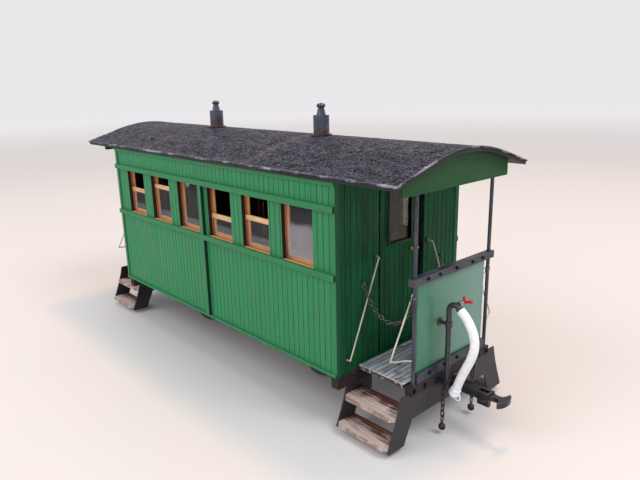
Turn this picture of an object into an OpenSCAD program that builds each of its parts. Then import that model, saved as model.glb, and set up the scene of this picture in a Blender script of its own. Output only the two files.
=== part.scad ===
// Narrow-gauge passenger coach, a large-scale railway model in wood, wire and sheet metal.
// Two axles, a planked body with six drop windows a side, an open platform with steps at each end
// and an arched, felt-covered roof. +X is the front end, +Z is up, and the wheel flanges stand on Z = 0.

/* [Body] */
// Length over the corner strips
body_len = 220; // [210:1:240]
// Width over the corner strips
body_w = 95; // [90:1:100]
// Thickness of the planked walls
wall_t = 2.2; // [1.8:0.1:2.6]
// Nominal width of one wall plank
plank_w = 3.9; // [3:0.1:6]
// Height of the upright walls above the sill
wall_h = 95.2; // [92:0.1:95.2]

/* [Windows] */
// Width of a side window opening
win_w = 22.8; // [18:0.1:23]
// Height of a side window opening
win_h = 29; // [24:0.5:30]
// Height of the window sills above the body's sill
win_sill = 51.6; // [48:0.1:52]
// Distance between the window centres
win_pitch = 33.2; // [32.6:0.1:34]
// How far each window of the right side is lowered
drops_right = [15, 9.2, 0, 18.8, 14.6, 0];
// How far each window of the left side is lowered
drops_left = [0, 0, 0, 0, 0, 0];
// How far a window can be lowered in all
drop_max = 26; // [20:1:26]

/* [Roof] */
// Length of the roof over both platforms
roof_len = 295; // [290:1:300]
// Half of the roof's width
roof_half = 50; // [49:0.5:52]
// Height of the crown above the eaves
roof_rise = 11.2; // [8:0.1:14]
// Thickness of the roof boards
deck_t = 1.6; // [1.2:0.1:2]
// Thickness of the roof felt
felt_t = 0.9; // [0.6:0.1:1.2]
// Distance of the ventilators from the middle
vent_x = 51.5; // [30:0.5:70]

/* [Platforms] */
// Length of each platform, from the end wall to the front of the headstock
platform_len = 32.4; // [30:0.1:36]
// Half of the headstock's width
headstock_half = 32; // [30:0.5:34]
// Height of the railing beam's top above the sill
beam_top = 53.3; // [50:0.1:56]
// Half of the distance between the roof posts
post_half = 29.3; // [28:0.1:30]
// Radius of the roof posts
post_r = 0.9; // [0.7:0.05:1]

/* [Running gear] */
// Track gauge between the rails
gauge = 26.7; // [26:0.1:27.5]
// Radius of the wheel treads
tread_r = 12; // [11:0.5:12.5]
// Height of the flange over the tread
flange_h = 1.5; // [1:0.1:1.5]
// Distance between the axles
wheelbase = 120; // [90:1:140]
// Height of the body's sill above the axles
axle_drop = 16; // [15.5:0.1:17]

/* [Hidden] */
$fn = 48;
eps = 0.05;
sill = tread_r + flange_h + axle_drop;
half_len = body_len / 2;
half_w = body_w / 2;
strip_t = 0.5;
strip_leg = 2.8;
face_x = half_len - strip_t;
face_y = half_w - strip_t;
in_x = face_x - wall_t;
in_y = face_y - wall_t;
groove_w = 0.34;
groove_d = 0.28;
lath_t = 1.8;
batten_h = 3;
batten_low = win_sill - batten_h;
batten_high = win_sill + win_h;
eave_z = 97.2;
head_x = half_len + platform_len;
head_t = 3.8;
head_low = -3.2;
head_top = 1.2;
floor_top = 2;
floor_half = 33;
panel_half = 26.6;
panel_x = head_x - 2.5;
panel_t = 0.8;
post_x = head_x - 1.4;
beam_h = 3.5;
beam_t = 3.2;
board_low = 90.5;
board_half = 40.4;
board_t = 2.2;
door_half = 14.8;
door_gap = 17.4;
door_low = 2.6;
door_high = 88;
door_t = 1.8;
door_x = face_x - 1.7;
door_win_y = [-8.6, 8.6];
door_win_z = [58, 84.5];
hinge_y = -door_half - 0.15;
hinge_z = [12, 70];
knuckle_l = 2.4;
knuckle_r = 0.5;
lever_y = 9.6;
lever_z = 52.3;
solebar_y = 18.4;
solebar_w = 3.2;
solebar_low = -7;
bolster_x = 108.2;
journal_r = 0.75;
journal_play = 0.05;
axle_r = 1.1;
wheel_in = gauge / 2 - 1.25;
wheel_w = 3.3;
guard_in = 16.1;
guard_out = 20.6;
pipe_y = -9.5;
pipe_x = head_x + 3.3;
pipe_r = 1.3;
bend_r = 3;
pipe_top = 34.2;
gland_x = pipe_x + 4.6;
gland_z = sill + 37.8;
gland_l = 3.2;
gland_r = 1.25;
spindle_r = 0.5;
hose_r = 2.1;
chain_y = 12.4;
chain_x = head_x + 3.6;
chain_z = -2;
link_l = 4.15;
link_w = 2.3;
link_r = 0.32;
coupling_x = head_x + 18.2;
coupling_z = -3.8;
coupling_r = 1;
buffer_z = -7;
tread_low_z = -24;
tread_high_z = -11.3;
step_x = [half_len - 1.6, head_x - 0.6];
step_t = 0.7;

// ---- shared shapes ----

// Height of the roof's outer face above the sill, at a distance y from the middle: mostly a
// quarter wave of a cosine, with a little of a full wave that flares the eaves.
function roof_z(y) = eave_z + roof_rise
    * (0.85 * cos(90 * y / roof_half) + 0.075 * (1 + cos(180 * y / roof_half)));

// Outline of a planked board: V grooves along the face at y = 0, the back at y = thick.
function planks(length, thick, count) = concat(
    [[0, 0]],
    [for (i = [1 : count - 1], k = [-1, 0, 1])
        [i * length / count + k * groove_w / 2, k == 0 ? groove_d : 0]],
    [[length, 0], [length, thick], [0, thick]]);

// One closed band of the roof's arch between two depths under the outer face.
module arch_band(half, depth_low, depth_high, length) {
    steps = 40;
    ys = [for (i = [0 : steps]) -half + 2 * half * i / steps];
    translate([-length / 2, 0, sill])
        rotate([90, 0, 90])
            linear_extrude(length)
                polygon(concat([for (y = ys) [y, roof_z(y) - depth_high]],
                    [for (i = [0 : steps]) [ys[steps - i], roof_z(ys[steps - i]) - depth_low]]));
}

// A prism that reaches from a height up to the underside of the roof boards.
module under_roof(half, low, length) {
    steps = 40;
    ys = [for (i = [0 : steps]) -half + 2 * half * i / steps];
    translate([-length / 2, 0, sill])
        rotate([90, 0, 90])
            linear_extrude(length)
                polygon(concat([[half, low], [-half, low]],
                    [for (y = ys) [y, roof_z(y) - deck_t - felt_t]]));
}

// The same piece at both ends, turned half round for the rear one.
module both_ends() {
    children();
    rotate([0, 0, 180]) children();
}

// The same piece on both sides of one end, mirrored across the middle.
module both_sides() {
    children();
    mirror([0, 1, 0]) children();
}

module box(low, high) {
    translate(low) cube(high - low);
}

// ---- swept cords ----

function unit(v) = v / norm(v);
function side_vector(t) = unit(cross(t, abs(t[1]) < 0.9 ? [0, 1, 0] : [1, 0, 0]));
function ring(p, t, r, sides) = let (u = side_vector(t), v = cross(t, u))
    [for (k = [0 : sides - 1]) p + r * (cos(360 * k / sides) * u + sin(360 * k / sides) * v)];
function tangent(path, i) = unit(path[min(i + 1, len(path) - 1)] - path[max(i - 1, 0)]);

// A closed round tube along a path of points.
module tube(path, r, sides = 8) {
    n = len(path);
    points = [for (i = [0 : n - 1]) each ring(path[i], tangent(path, i), r, sides)];
    walls = [for (i = [0 : n - 2], k = [0 : sides - 1])
        let (a = i * sides + k, b = i * sides + (k + 1) % sides) [a, b, b + sides, a + sides]];
    polyhedron(points, concat([[for (k = [0 : sides - 1]) sides - 1 - k]], walls,
        [[for (k = [0 : sides - 1]) (n - 1) * sides + k]]));
}

// Centreline of the hose, from the tap's nozzle down to the white coupling head, above the sill.
hose_path = [for (p = [[151.8, -9.5, 35.4], [154.4, -9.5, 33.2], [157, -9.5, 29.8], [159, -9.5, 25.9],
                       [159.9, -9.5, 21.4], [159.4, -9.5, 16.8], [157.9, -9.5, 12.3],
                       [156, -9.5, 8], [154.2, -9.5, 3.8], [152.6, -9.5, -0.4], [151.3, -9.5, -4]])
             [p[0], p[1], p[2] + sill]];

// Centreline of one entrance chain at the front right corner, from the wall hook to the post.
chain_path = [for (p = [[109.52, -30.6, 44.6], [110.7, -30.6, 44.5], [111.7, -30.5, 43.3],
                        [112.6, -30.2, 40.6], [114, -29.8, 37.2], [116.2, -29.3, 33.6],
                        [119, -28.8, 30.4], [122.4, -28.4, 28.1], [126, -28.1, 27.3],
                        [129.6, -27.8, 28.1], [133, -27.6, 30.6], [135.6, -27.5, 33.2],
                        [137.3, -27.5, 35.9], [138.4, -27.8, 38.8], [139.1, -28.4, 41.4],
                        [139.6, -29.1, 43.6]])
              [p[0], p[1], p[2] + sill]];

// ---- body ----

module body_floor() {
    color("#5a4632")
        box([-in_x + eps, -in_y + eps, sill + 0.2], [in_x - eps, in_y - eps, sill + 2]);
}

module side_wall() {
    color("#45885f")
        difference() {
            translate([-half_len + strip_t, -face_y, sill])
                linear_extrude(wall_h)
                    polygon(planks(2 * face_x, wall_t, round(2 * face_x / plank_w)));
            for (i = [0 : 5])
                box([window_x(i) - win_w / 2, -half_w - 1, sill + win_sill],
                    [window_x(i) + win_w / 2, -in_y + 1, sill + win_sill + win_h]);
        }
}

function window_x(i) = (i - 2.5) * win_pitch;

module end_wall() {
    color("#2b5f40")
        difference() {
            intersection() {
                translate([face_x, -in_y + eps, sill])
                    rotate([0, 0, 90])
                        linear_extrude(wall_h + 20)
                            polygon(planks(2 * in_y - 2 * eps, wall_t,
                                round(2 * in_y / plank_w)));
                under_roof(in_y, 0, body_len);
            }
            box([in_x - 1, -door_gap, sill + floor_top], [half_len + 1, door_gap, sill + 88.6]);
        }
}

module corner_strips() {
    leg = strip_leg;
    color("#45885f")
        both_ends() both_sides()
            translate([half_len, -half_w, sill])
                linear_extrude(wall_h)
                    polygon([[-leg, 0], [0, 0], [0, leg], [-strip_t, leg], [-strip_t, strip_t],
                             [-leg, strip_t]]);
}

// A strip along one side, from the wall's face outward, stepped over the corner strips.
module side_strip(low, high, out) {
    end_x = half_len - 0.3;
    box([-end_x, -face_y - out, sill + low], [end_x, -half_w, sill + high]);
    box([strip_leg - half_len, -half_w - eps, sill + low],
        [half_len - strip_leg, -face_y, sill + high]);
}

module side_battens() {
    out_y = face_y + lath_t + 0.2;
    color("#3f8058")
        both_sides() {
            side_strip(batten_low, win_sill, lath_t);
            side_strip(batten_high, batten_high + batten_h, lath_t);
            side_strip(0, 1.5, 1.2);
            side_strip(92.6, 94.4, 1);
            box([-1.4, -out_y, sill + 1.6], [1.4, -face_y, sill + batten_low - eps]);
            box([-1.4, -out_y, sill + win_sill + eps], [1.4, -face_y, sill + batten_high - eps]);
        }
}

module door_frames() {
    back = door_x - door_t - 0.3;
    color("#222b26")
        both_ends()
            difference() {
                box([back - 1.7, -19.4, sill + floor_top], [in_x, 19.4, sill + 91]);
                box([back - 3, -13.6, sill], [in_x + 1, 13.6, sill + 86.6]);
                box([back, -door_gap, sill], [in_x + 1, door_gap, sill + 88.6]);
            }
    color("#222b26")
        both_ends() {
            knuckles(knuckle_l + eps, 2 * knuckle_l, knuckle_r);
            for (z = hinge_z)
                box([in_x - 0.4, -door_gap - 0.5, sill + z + knuckle_l + eps],
                    [in_x - eps, hinge_y - 0.2, sill + z + 2 * knuckle_l]);
        }
}

// ---- windows ----

lining_y = [in_y - 2.8, in_y - 1.6];
guide_in = win_w / 2 + 1.6;
guide_out = win_w / 2 + 3.2;
guide_low = 23;
lining_in = win_w / 2 - 1.7;
rail_h = 2.8;
rail_y = [in_y - 1.4, in_y - 0.2];
sash_half = win_w / 2 + 1.4;
pane_y = [in_y - 1.1, in_y - 0.5];
closed_top = win_sill + win_h + rail_h + 0.2;
pane_low = win_sill - 1.6;

module window_lining() {
    difference() {
        box([-guide_out, -lining_y[1], 49], [guide_out, -lining_y[0], closed_top + 0.6]);
        box([-lining_in, -in_y, win_sill + 2], [lining_in, 0, win_sill + win_h - 1.7]);
    }
    for (s = [-1, 1])
        translate([s * (guide_in + guide_out) / 2, 0, 0])
            box([(guide_in - guide_out) / 2, -in_y, guide_low],
                [(guide_out - guide_in) / 2, -lining_y[1] + eps, closed_top + 0.6]);
}

module window_linings() {
    color("#b98a5c")
        both_sides()
            for (i = [0 : 5])
                translate([window_x(i), 0, sill]) window_lining();
}

// A drop window: a wooden pull rail over a plain pane, lowered by drop.
module drop_window(i, drop) {
    translate([window_x(i), 0, sill - drop]) {
        color("#d0ab80")
            box([-sash_half, -rail_y[1], closed_top - rail_h], [sash_half, -rail_y[0], closed_top]);
        color("#5b5f66", 0.5)
            box([-sash_half + 0.2, -pane_y[1], pane_low],
                [sash_half - 0.2, -pane_y[0], closed_top - rail_h - eps]);
    }
}

module window_left(i) {
    rotate([0, 0, 180]) drop_window(5 - i, drops_left[i]);
}

// ---- roof ----

module roof_deck() {
    color("#4c4440") arch_band(roof_half - 0.6, felt_t + eps, felt_t + deck_t, roof_len - 1);
}

module roof_felt() {
    color("#4e4c51") arch_band(roof_half, 0, felt_t, roof_len);
}

module headboards() {
    color("#3c7a4c")
        both_ends()
            translate([head_x - board_t / 2, 0, 0]) under_roof(board_half, board_low, board_t);
}

module vent() {
    crown = sill + eave_z + roof_rise;
    color("#4c4e5a")
        difference() {
            translate([vent_x, 0, crown - 0.4])
                rotate_extrude()
                    polygon([[0, 0], [5.9, 0], [5.9, 0.8], [4.4, 1], [4.4, 11], [2.6, 11.1],
                             [1.65, 15], [2.3, 15.4], [2.5, 16.2], [1.9, 17.1], [0, 17.6]]);
            translate([vent_x, 0, felt_t + deck_t]) under_roof(8, 90, 16);
        }
}

// ---- underframe ----

module underframe() {
    color("#3a2d28")
        difference() {
            union() {
                both_sides()
                    box([-head_x + head_t, solebar_y - solebar_w / 2, sill + solebar_low],
                        [head_x - head_t, solebar_y + solebar_w / 2, sill + 0.2]);
                both_ends()
                    box([bolster_x - 3.4, -46.4, sill + solebar_low],
                        [bolster_x + 1.2, 46.4, sill]);
                for (x = [-30, 0, 30])
                    box([x - 1.5, -solebar_y, sill - 5], [x + 1.5, solebar_y, sill]);
                box([-bolster_x, -2, sill - 5], [bolster_x, 2, sill]);
            }
            both_ends()
                box([in_x - eps, -solebar_y - 2, sill - eps / 2], [face_x + eps, solebar_y + 2, sill + 1]);
        }
}

module headstocks() {
    color("#4a3029")
        both_ends()
            box([head_x - head_t, -headstock_half, sill + head_low],
                [head_x, headstock_half, sill + head_top]);
}

module draw_boxes() {
    color("#3b3532")
        both_ends()
            difference() {
                box([head_x - 12, -5, sill - 10.8], [head_x + 0.6, 5, sill + head_low]);
                box([head_x - 13, -3.2, sill - 9.2], [head_x + 2, 3.2, sill - 4.9]);
            }
}

module axle_guard() {
    plate = [[-15, 0], [-4.4, -12], [-3.6, -19], [3.6, -19], [4.4, -12], [15, 0]];
    translate([0, 0, sill + 0.2 - 7.2])
        difference() {
            union() {
                translate([0, guard_in + 0.7, 7])
                    rotate([90, 0, 0]) linear_extrude(0.7) polygon(plate);
                translate([-2.6, guard_in + 0.1, -11.6])
                    cube([5.2, guard_out - guard_in, 5.2]);
            }
            translate([0, guard_in - 1, -9])
                rotate([-90, 0, 0])
                    cylinder(h = guard_out - guard_in + 0.5, r = journal_r + journal_play);
        }
}

module axle_guards() {
    color("#302c2c")
        both_ends() both_sides()
            translate([wheelbase / 2, 0, 0]) axle_guard();
}

// A leaf spring over an axle box: three leaves, each a shorter arc, in a buckle.
module axle_spring() {
    camber_r = 46;
    translate([0, guard_out - 0.2, 0]) {
        rotate([90, 0, 0])
            linear_extrude(2.2)
                for (k = [0 : 2])
                    translate([0, sill - 12.6 + camber_r + k * 0.8])
                        intersection() {
                            difference() {
                                circle(camber_r, $fn = 180);
                                circle(camber_r - 0.82, $fn = 180);
                            }
                            translate([-10 + 2.5 * (2 - k) - 2.5, -camber_r - 1])
                                square([2 * (12.5 - 2.5 * (2 - k)), 6]);
                        }
        box([-1.5, -2.4, sill - 13.4], [1.5, 0.2, sill - 9.6]);
    }
    for (s = [-1, 1])
        box([s * 11.4 - 0.7, guard_out - 2.4, sill - 11], [s * 11.4 + 0.7, guard_out - 0.6, sill - 7]);
}

module axle_springs() {
    color("#2c2a2b")
        both_ends() both_sides() translate([wheelbase / 2, 0, 0]) axle_spring();
}

module wheel() {
    flange_r = tread_r + flange_h;
    rotate([-90, 0, 0])
        rotate_extrude($fn = 96)
            polygon([[axle_r, -0.2], [3, -0.2], [3, 1.2], [tread_r - 2.2, 1.2], [tread_r - 2.2, 0],
                     [flange_r - 0.5, 0], [flange_r, 0.35], [flange_r - 0.3, 0.8],
                     [tread_r + 0.15, 1], [tread_r, wheel_w], [tread_r - 2.2, wheel_w],
                     [tread_r - 2.2, 2.2], [3, 2.2], [3, wheel_w], [axle_r, wheel_w]]);
}

module wheels(x) {
    color("#55504e")
        both_sides() translate([x, wheel_in, sill - axle_drop]) wheel();
}

module axle(x) {
    color("#6a6664")
        translate([x, 0, sill - axle_drop])
            rotate([90, 0, 0]) {
                cylinder(h = 2 * (guard_in - 0.3), r = axle_r, center = true);
                cylinder(h = 2 * (guard_out - 0.9), r = journal_r, center = true);
            }
}

// ---- platforms ----

module platform_floors() {
    length = head_x - head_t - half_len - 0.2;
    color("#7f8790")
        both_ends()
            translate([half_len + 0.1, -floor_half, sill + floor_top])
                rotate([-90, 0, 0])
                    linear_extrude(2 * floor_half)
                        polygon(planks(length, floor_top - 0.2, 10));
}

module platform_panels() {
    color("#5f9277")
        both_ends()
            box([panel_x, -panel_half, sill + head_top], [panel_x + panel_t, panel_half,
                sill + beam_top - beam_h]);
}

module kick_strips() {
    color("#5d585a")
        both_ends()
            box([panel_x + panel_t, -27.6, sill + head_top], [panel_x + panel_t + 1.3, 27.6, sill + 6.6]);
}

module railing_beams() {
    color("#5c6068")
        both_ends()
            difference() {
                box([post_x - beam_t / 2, -headstock_half, sill + beam_top - beam_h],
                    [post_x + beam_t / 2, headstock_half, sill + beam_top]);
                for (s = [-1, 1])
                    translate([post_x, s * post_half, sill + beam_top - beam_h - 1])
                        cylinder(h = beam_h + 2, r = post_r + 0.03);
            }
}

module railing_posts() {
    color("#56565c")
        both_ends() both_sides()
            translate([post_x, post_half, sill + head_top]) {
                cylinder(h = 0.8, r = 1.35);
                cylinder(h = board_low - head_top, r = post_r);
            }
}

// A bolt with a square nut, its head standing out along +X.
module nut(size) {
    rotate([0, 90, 0]) {
        translate([-size / 2, -size / 2, 0]) cube([size, size, size * 0.45]);
        cylinder(h = size * 0.75, r = size * 0.28);
    }
}

module railing_bolts() {
    color("#2b2a2d")
        both_ends() {
            for (y = [-21.8, -13, 0, 13, 21.8])
                translate([post_x + beam_t / 2, y, sill + beam_top - 1.7]) nut(1.3);
            for (y = [-18.4, -6.4, 3.9, 15.4])
                translate([panel_x + panel_t + 1.3, y, sill + 4.4]) nut(1.3);
            for (y = [-30, -22, 22, 30])
                translate([head_x, y, sill - 1]) nut(1.9);
        }
}

// ---- steps ----

module step_plate_outline(inner) {
    outer_top = 38.6;
    outer_low = 47.2;
    low = -27;
    polygon(concat(
        [[inner, head_low], [headstock_half + 0.3, head_low], [headstock_half + 0.3, -1.8], [outer_top, -1.8]],
        [for (i = [1 : 6]) let (t = i / 6)
            [outer_top + (outer_low - outer_top) * pow(t, 1.25), -1.8 + (low + 2.4) * t]],
        [[outer_low - 0.3, low + 0.2], [outer_low - 1, low], [36, low], [30.3, -15.2], [inner, -15.2]]));
}

module step_plates() {
    color("#37383d")
        both_ends() both_sides()
            translate([0, 0, sill]) {
                translate([step_x[1] - step_t, 0, 0])
                    rotate([90, 0, 90])
                        linear_extrude(step_t)
                            difference() {
                                step_plate_outline(0);
                                translate([-1, -11]) square([6.2, 9]);
                            }
                translate([step_x[0], 0, 0])
                    rotate([90, 0, 90])
                        linear_extrude(step_t)
                            intersection() {
                                step_plate_outline(22);
                                translate([0, -40]) square([60, 40 + solebar_low]);
                            }
            }
}

module step_tread(inner, outer, z) {
    x0 = step_x[0] + step_t;
    x1 = step_x[1] - step_t;
    cut = 2.6;
    translate([0, 0, sill + z - 1.5])
        linear_extrude(1.5)
            polygon([[x0, inner], [x1, inner], [x1, outer - cut], [x1 - cut * 0.8, outer],
                     [x0 + cut * 0.8, outer], [x0, outer - cut]]);
}

module step_treads() {
    color("#8a6a60")
        both_ends() both_sides() {
            step_tread(28.2, 43.4, tread_high_z);
            step_tread(35, 48.4, tread_low_z);
        }
}

// ---- rails, chains, pipes ----

module grab_rails() {
    r = 0.4;
    wall_rail = [[face_x + 0.1, 20.4, 55], [face_x + 2.6, 20.6, 55], [face_x + 3.2, 21.2, 54.4],
                 [face_x + 3.2, 22.4, 52], [face_x + 3.2, 40.4, 9.8], [face_x + 2.8, 40.9, 8.4],
                 [face_x + 2, 41, 7.8], [face_x + 0.1, 41, 7.4]];
    post_rail = [[head_x - 4.2, 22.2, 49.2], [head_x - 5, 23, 48], [head_x - 5.4, 24, 46.2],
                 [head_x - 5.4, 40, 17], [head_x - 5.2, 39.8, 15.6], [head_x - 4.6, 37.6, 14.9],
                 [head_x - 3, 33, 14.4], [post_x, post_half + post_r + r + eps, 14]];
    color("#cfc8b4")
        both_ends() both_sides()
            translate([0, 0, sill]) {
                tube(wall_rail, r);
                tube(post_rail, r);
            }
}

module safety_chains() {
    color("#4a4340")
        both_ends() both_sides() tube(chain_path, 0.7);
}

module standpipe() {
    z0 = sill - 7.5;
    z1 = sill + pipe_top;
    color("#45454c") {
        translate([pipe_x, pipe_y, z0]) cylinder(h = z1 - z0, r = pipe_r);
        translate([pipe_x + bend_r, pipe_y, z1])
            rotate([90, 0, 0])
                rotate_extrude(angle = 142, start = 38)
                    translate([bend_r, 0]) circle(pipe_r, $fn = 24);
        translate([pipe_x + bend_r + bend_r * cos(38), pipe_y, z1 + bend_r * sin(38)])
            rotate([0, 128, 0]) cylinder(h = 0.9, r = pipe_r + 0.5);
        translate([panel_x + panel_t, pipe_y, sill + 27]) {
            rotate([0, 90, 0]) cylinder(h = 0.7, r = 1.9);
            rotate([0, 90, 0]) cylinder(h = pipe_x - panel_x - panel_t, r = 0.8);
        }
        translate([pipe_x, pipe_y, sill + 25.7]) cylinder(h = 2.6, r = pipe_r + 0.45);
        translate([gland_x, pipe_y, gland_z])
            rotate([-90, 0, 0])
                difference() {
                    cylinder(h = gland_l, r = gland_r);
                    translate([0, 0, gland_l - 1.6]) cylinder(h = 2, r = spindle_r + 0.05);
                }
        translate([head_x + eps, pipe_y - 1.2, sill - 3.1]) cube([4.4, 3.2, 1.6]);
    }
}

// The tap's key: a spindle in the gland, a hub and two wings of unequal length.
module cock_handle() {
    color("#c2403f")
        translate([gland_x, pipe_y, gland_z])
            rotate([-90, 0, 0]) {
                translate([0, 0, gland_l - 1.4]) cylinder(h = 3.6, r = spindle_r);
                translate([0, 0, 4.8]) cylinder(h = 1.3, r = 1.1);
                rotate([0, 0, -12]) translate([0.6, -0.6, 4.9]) cube([3.9, 1.2, 1.1]);
                rotate([0, 0, -100]) translate([0.6, -0.55, 4.9]) cube([2, 1.1, 1.1]);
            }
}

module hose() {
    color("#eceef0") tube(hose_path, hose_r, 12);
}

module hose_coupling() {
    last = hose_path[len(hose_path) - 1];
    dir = unit(last - hose_path[len(hose_path) - 2]);
    color("#e4e4e2")
        translate(last)
            rotate([0, atan2(dir[0], dir[2]), 0])
                difference() {
                    union() {
                        translate([0, 0, 0.02]) cylinder(h = 2.6, r = hose_r + 0.35);
                        translate([0, 0, 2.6]) sphere(2.7);
                    }
                    translate([0, 0, 2.6]) cylinder(h = 4, r = 0.9);
                }
}

// ---- draw gear ----

module buffer() {
    z = sill + buffer_z;
    face_r = 9;
    color("#3f3c3e") {
        difference() {
            box([head_x - 10.4, -2.9, z - 1.9], [head_x + 22, 2.9, z + 1.8]);
            box([head_x + 15.6, -1.2, z - 3], [head_x + 20.6, 1.2, z + 3]);
        }
        translate([head_x, 0, z - 1.2])
            linear_extrude(2.4)
                for (m = [0, 1]) mirror([0, m])
                    polygon([[21.5, -eps], [21.5, 2.2], [24.4, 1.3], [26.4, 1.5], [27.6, 3.1],
                             [28, 5.7], [28.9, 5.6], [29.9, 3.8], [30.45, 1.9], [30.6, -eps]]);
        difference() {
            box([head_x + 15, -1, z - 5.6], [head_x + 21.2, 1, z - 1.8]);
            translate([coupling_x, 0, z + coupling_z])
                rotate([90, 0, 0]) cylinder(h = 4, r = coupling_r, center = true);
        }
    }
}

module chain_link(length, width, r) {
    straight = length - width;
    side = width / 2 - r;
    for (s = [-1, 1]) {
        translate([0, 0, s * straight / 2])
            rotate([90, 0, 0])
                rotate_extrude(angle = 180, start = s > 0 ? 0 : 180)
                    translate([side, 0]) circle(r, $fn = 16);
        translate([s * side, 0, -straight / 2]) cylinder(h = straight, r = r, $fn = 16);
    }
}

// A chain that hangs straight down from its eye bolt, with a ball hook at its end.
module coupling_chain() {
    pitch = link_l - 4 * link_r - 0.04;
    first = -0.3 - (link_l / 2 - link_r);
    ball_z = first - 6 * pitch - link_l / 2 - 2.2;
    translate([chain_x, chain_y, sill + chain_z]) {
        for (i = [0 : 6])
            translate([0, 0, first - pitch * i])
                rotate([0, 0, i % 2 == 0 ? 90 : 0]) chain_link(link_l, link_w, link_r);
        translate([0, 0, ball_z])
            difference() {
                union() {
                    sphere(1.8, $fn = 32);
                    cylinder(h = 2.5, r = 0.6, $fn = 24);
                }
                translate([0.7, -3, -0.7]) cube([3, 6, 1.1]);
            }
    }
}

module coupling_chains() {
    color("#4f3a30") both_sides() coupling_chain();
}

module eye_bolts() {
    eye_r = 0.81;
    color("#35302e")
        both_ends() both_sides()
            translate([head_x, chain_y, sill + chain_z]) {
                rotate([0, 90, 0]) cylinder(h = 2.5, r = 0.4);
                translate([chain_x - head_x, 0, 0])
                    rotate([90, 0, 0])
                        difference() {
                            cylinder(h = 0.68, r = eye_r + 0.68, center = true);
                            cylinder(h = 1, r = eye_r, center = true);
                        }
                translate([0, -1.6, -1.1]) cube([0.5, 3.2, 3]);
            }
}

// ---- doors ----

// The barrels of a door's two butt hinges, from low to high above each hinge's foot.
module knuckles(low, high, r) {
    for (z = hinge_z)
        translate([door_x, hinge_y, sill + z + low]) cylinder(h = high - low, r = r);
}

module end_door() {
    color("#26573b")
        difference() {
            union() {
                translate([door_x, -door_half, sill + door_low])
                    rotate([0, 0, 90])
                        linear_extrude(door_high - door_low)
                            polygon(planks(2 * door_half, door_t, 8));
                knuckles(0, knuckle_l, knuckle_r);
            }
            knuckles(knuckle_l, 2 * knuckle_l + eps, knuckle_r + eps);
            box([door_x - door_t - 1, door_win_y[0], sill + door_win_z[0]],
                [door_x + 1, door_win_y[1], sill + door_win_z[1]]);
            translate([door_x - door_t - 1, lever_y, sill + lever_z])
                rotate([0, 90, 0]) cylinder(h = door_t + 2, r = 0.55);
        }
}

module door_pane() {
    color("#3d3d42", 0.6)
        box([door_x - 1.2, door_win_y[0] + 0.02, sill + door_win_z[0] + 0.02],
            [door_x - 0.7, door_win_y[1] - 0.02, sill + door_win_z[1] - 0.02]);
}

module door_lever() {
    color("#b9983f")
        translate([door_x, lever_y, sill + lever_z]) {
            translate([-door_t - 0.9, 0, 0]) rotate([0, 90, 0]) cylinder(h = door_t + 2.4, r = 0.5);
            translate([-door_t - 0.9, 0, 0]) rotate([0, 90, 0]) cylinder(h = 0.7, r = 0.9);
            translate([0.2, 0, 0]) rotate([0, 90, 0]) cylinder(h = 0.4, r = 0.9);
            translate([1, -0.5, -0.5]) cube([0.8, 4.4, 1]);
        }
}

// ---- the nodes ----

body_floor();
rotate([0, 0, 180]) side_wall();  // side_wall_left
side_wall();  // side_wall_right
end_wall();  // end_wall_front
rotate([0, 0, 180]) end_wall();  // end_wall_rear
corner_strips();
side_battens();
door_frames();
window_linings();
roof_deck();
roof_felt();
headboards();
both_ends() vent();  // roof_vents
underframe();
headstocks();
platform_floors();
platform_panels();
railing_beams();
railing_posts();
kick_strips();
railing_bolts();
step_plates();
step_treads();
grab_rails();
safety_chains();
axle_guards();
axle_springs();
both_ends() standpipe();  // standpipes
draw_boxes();
eye_bolts();
wheels(wheelbase / 2);  // wheels_front
axle(wheelbase / 2);  // axle_front
wheels(-wheelbase / 2);  // wheels_rear
axle(-wheelbase / 2);  // axle_rear
end_door();  // end_door_front
rotate([0, 0, 180]) end_door();  // end_door_rear
door_pane();  // door_pane_front
rotate([0, 0, 180]) door_pane();  // door_pane_rear
door_lever();  // door_lever_front
rotate([0, 0, 180]) door_lever();  // door_lever_rear
buffer();  // buffer_front
rotate([0, 0, 180]) buffer();  // buffer_rear
cock_handle();  // cock_handle_front
rotate([0, 0, 180]) cock_handle();  // cock_handle_rear
coupling_chains();  // coupling_chains_front
rotate([0, 0, 180]) coupling_chains();  // coupling_chains_rear
hose();
hose_coupling();
drop_window(0, drops_right[0]);  // window_right_1
drop_window(1, drops_right[1]);  // window_right_2
drop_window(2, drops_right[2]);  // window_right_3
drop_window(3, drops_right[3]);  // window_right_4
drop_window(4, drops_right[4]);  // window_right_5
drop_window(5, drops_right[5]);  // window_right_6
window_left(0);  // window_left_1
window_left(1);  // window_left_2
window_left(2);  // window_left_3
window_left(3);  // window_left_4
window_left(4);  // window_left_5
window_left(5);  // window_left_6
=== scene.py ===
"""Narrow-gauge model passenger coach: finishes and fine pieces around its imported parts.

The frame gives every moving body of the coach. This file paints the planked walls, lays the
wrinkled roof felt, bends the grab rails, links the chains and fits the windows, and each piece
rides on the body that it belongs to. Lengths are in metres; +X is the coach's front end.
"""

import math

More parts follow.
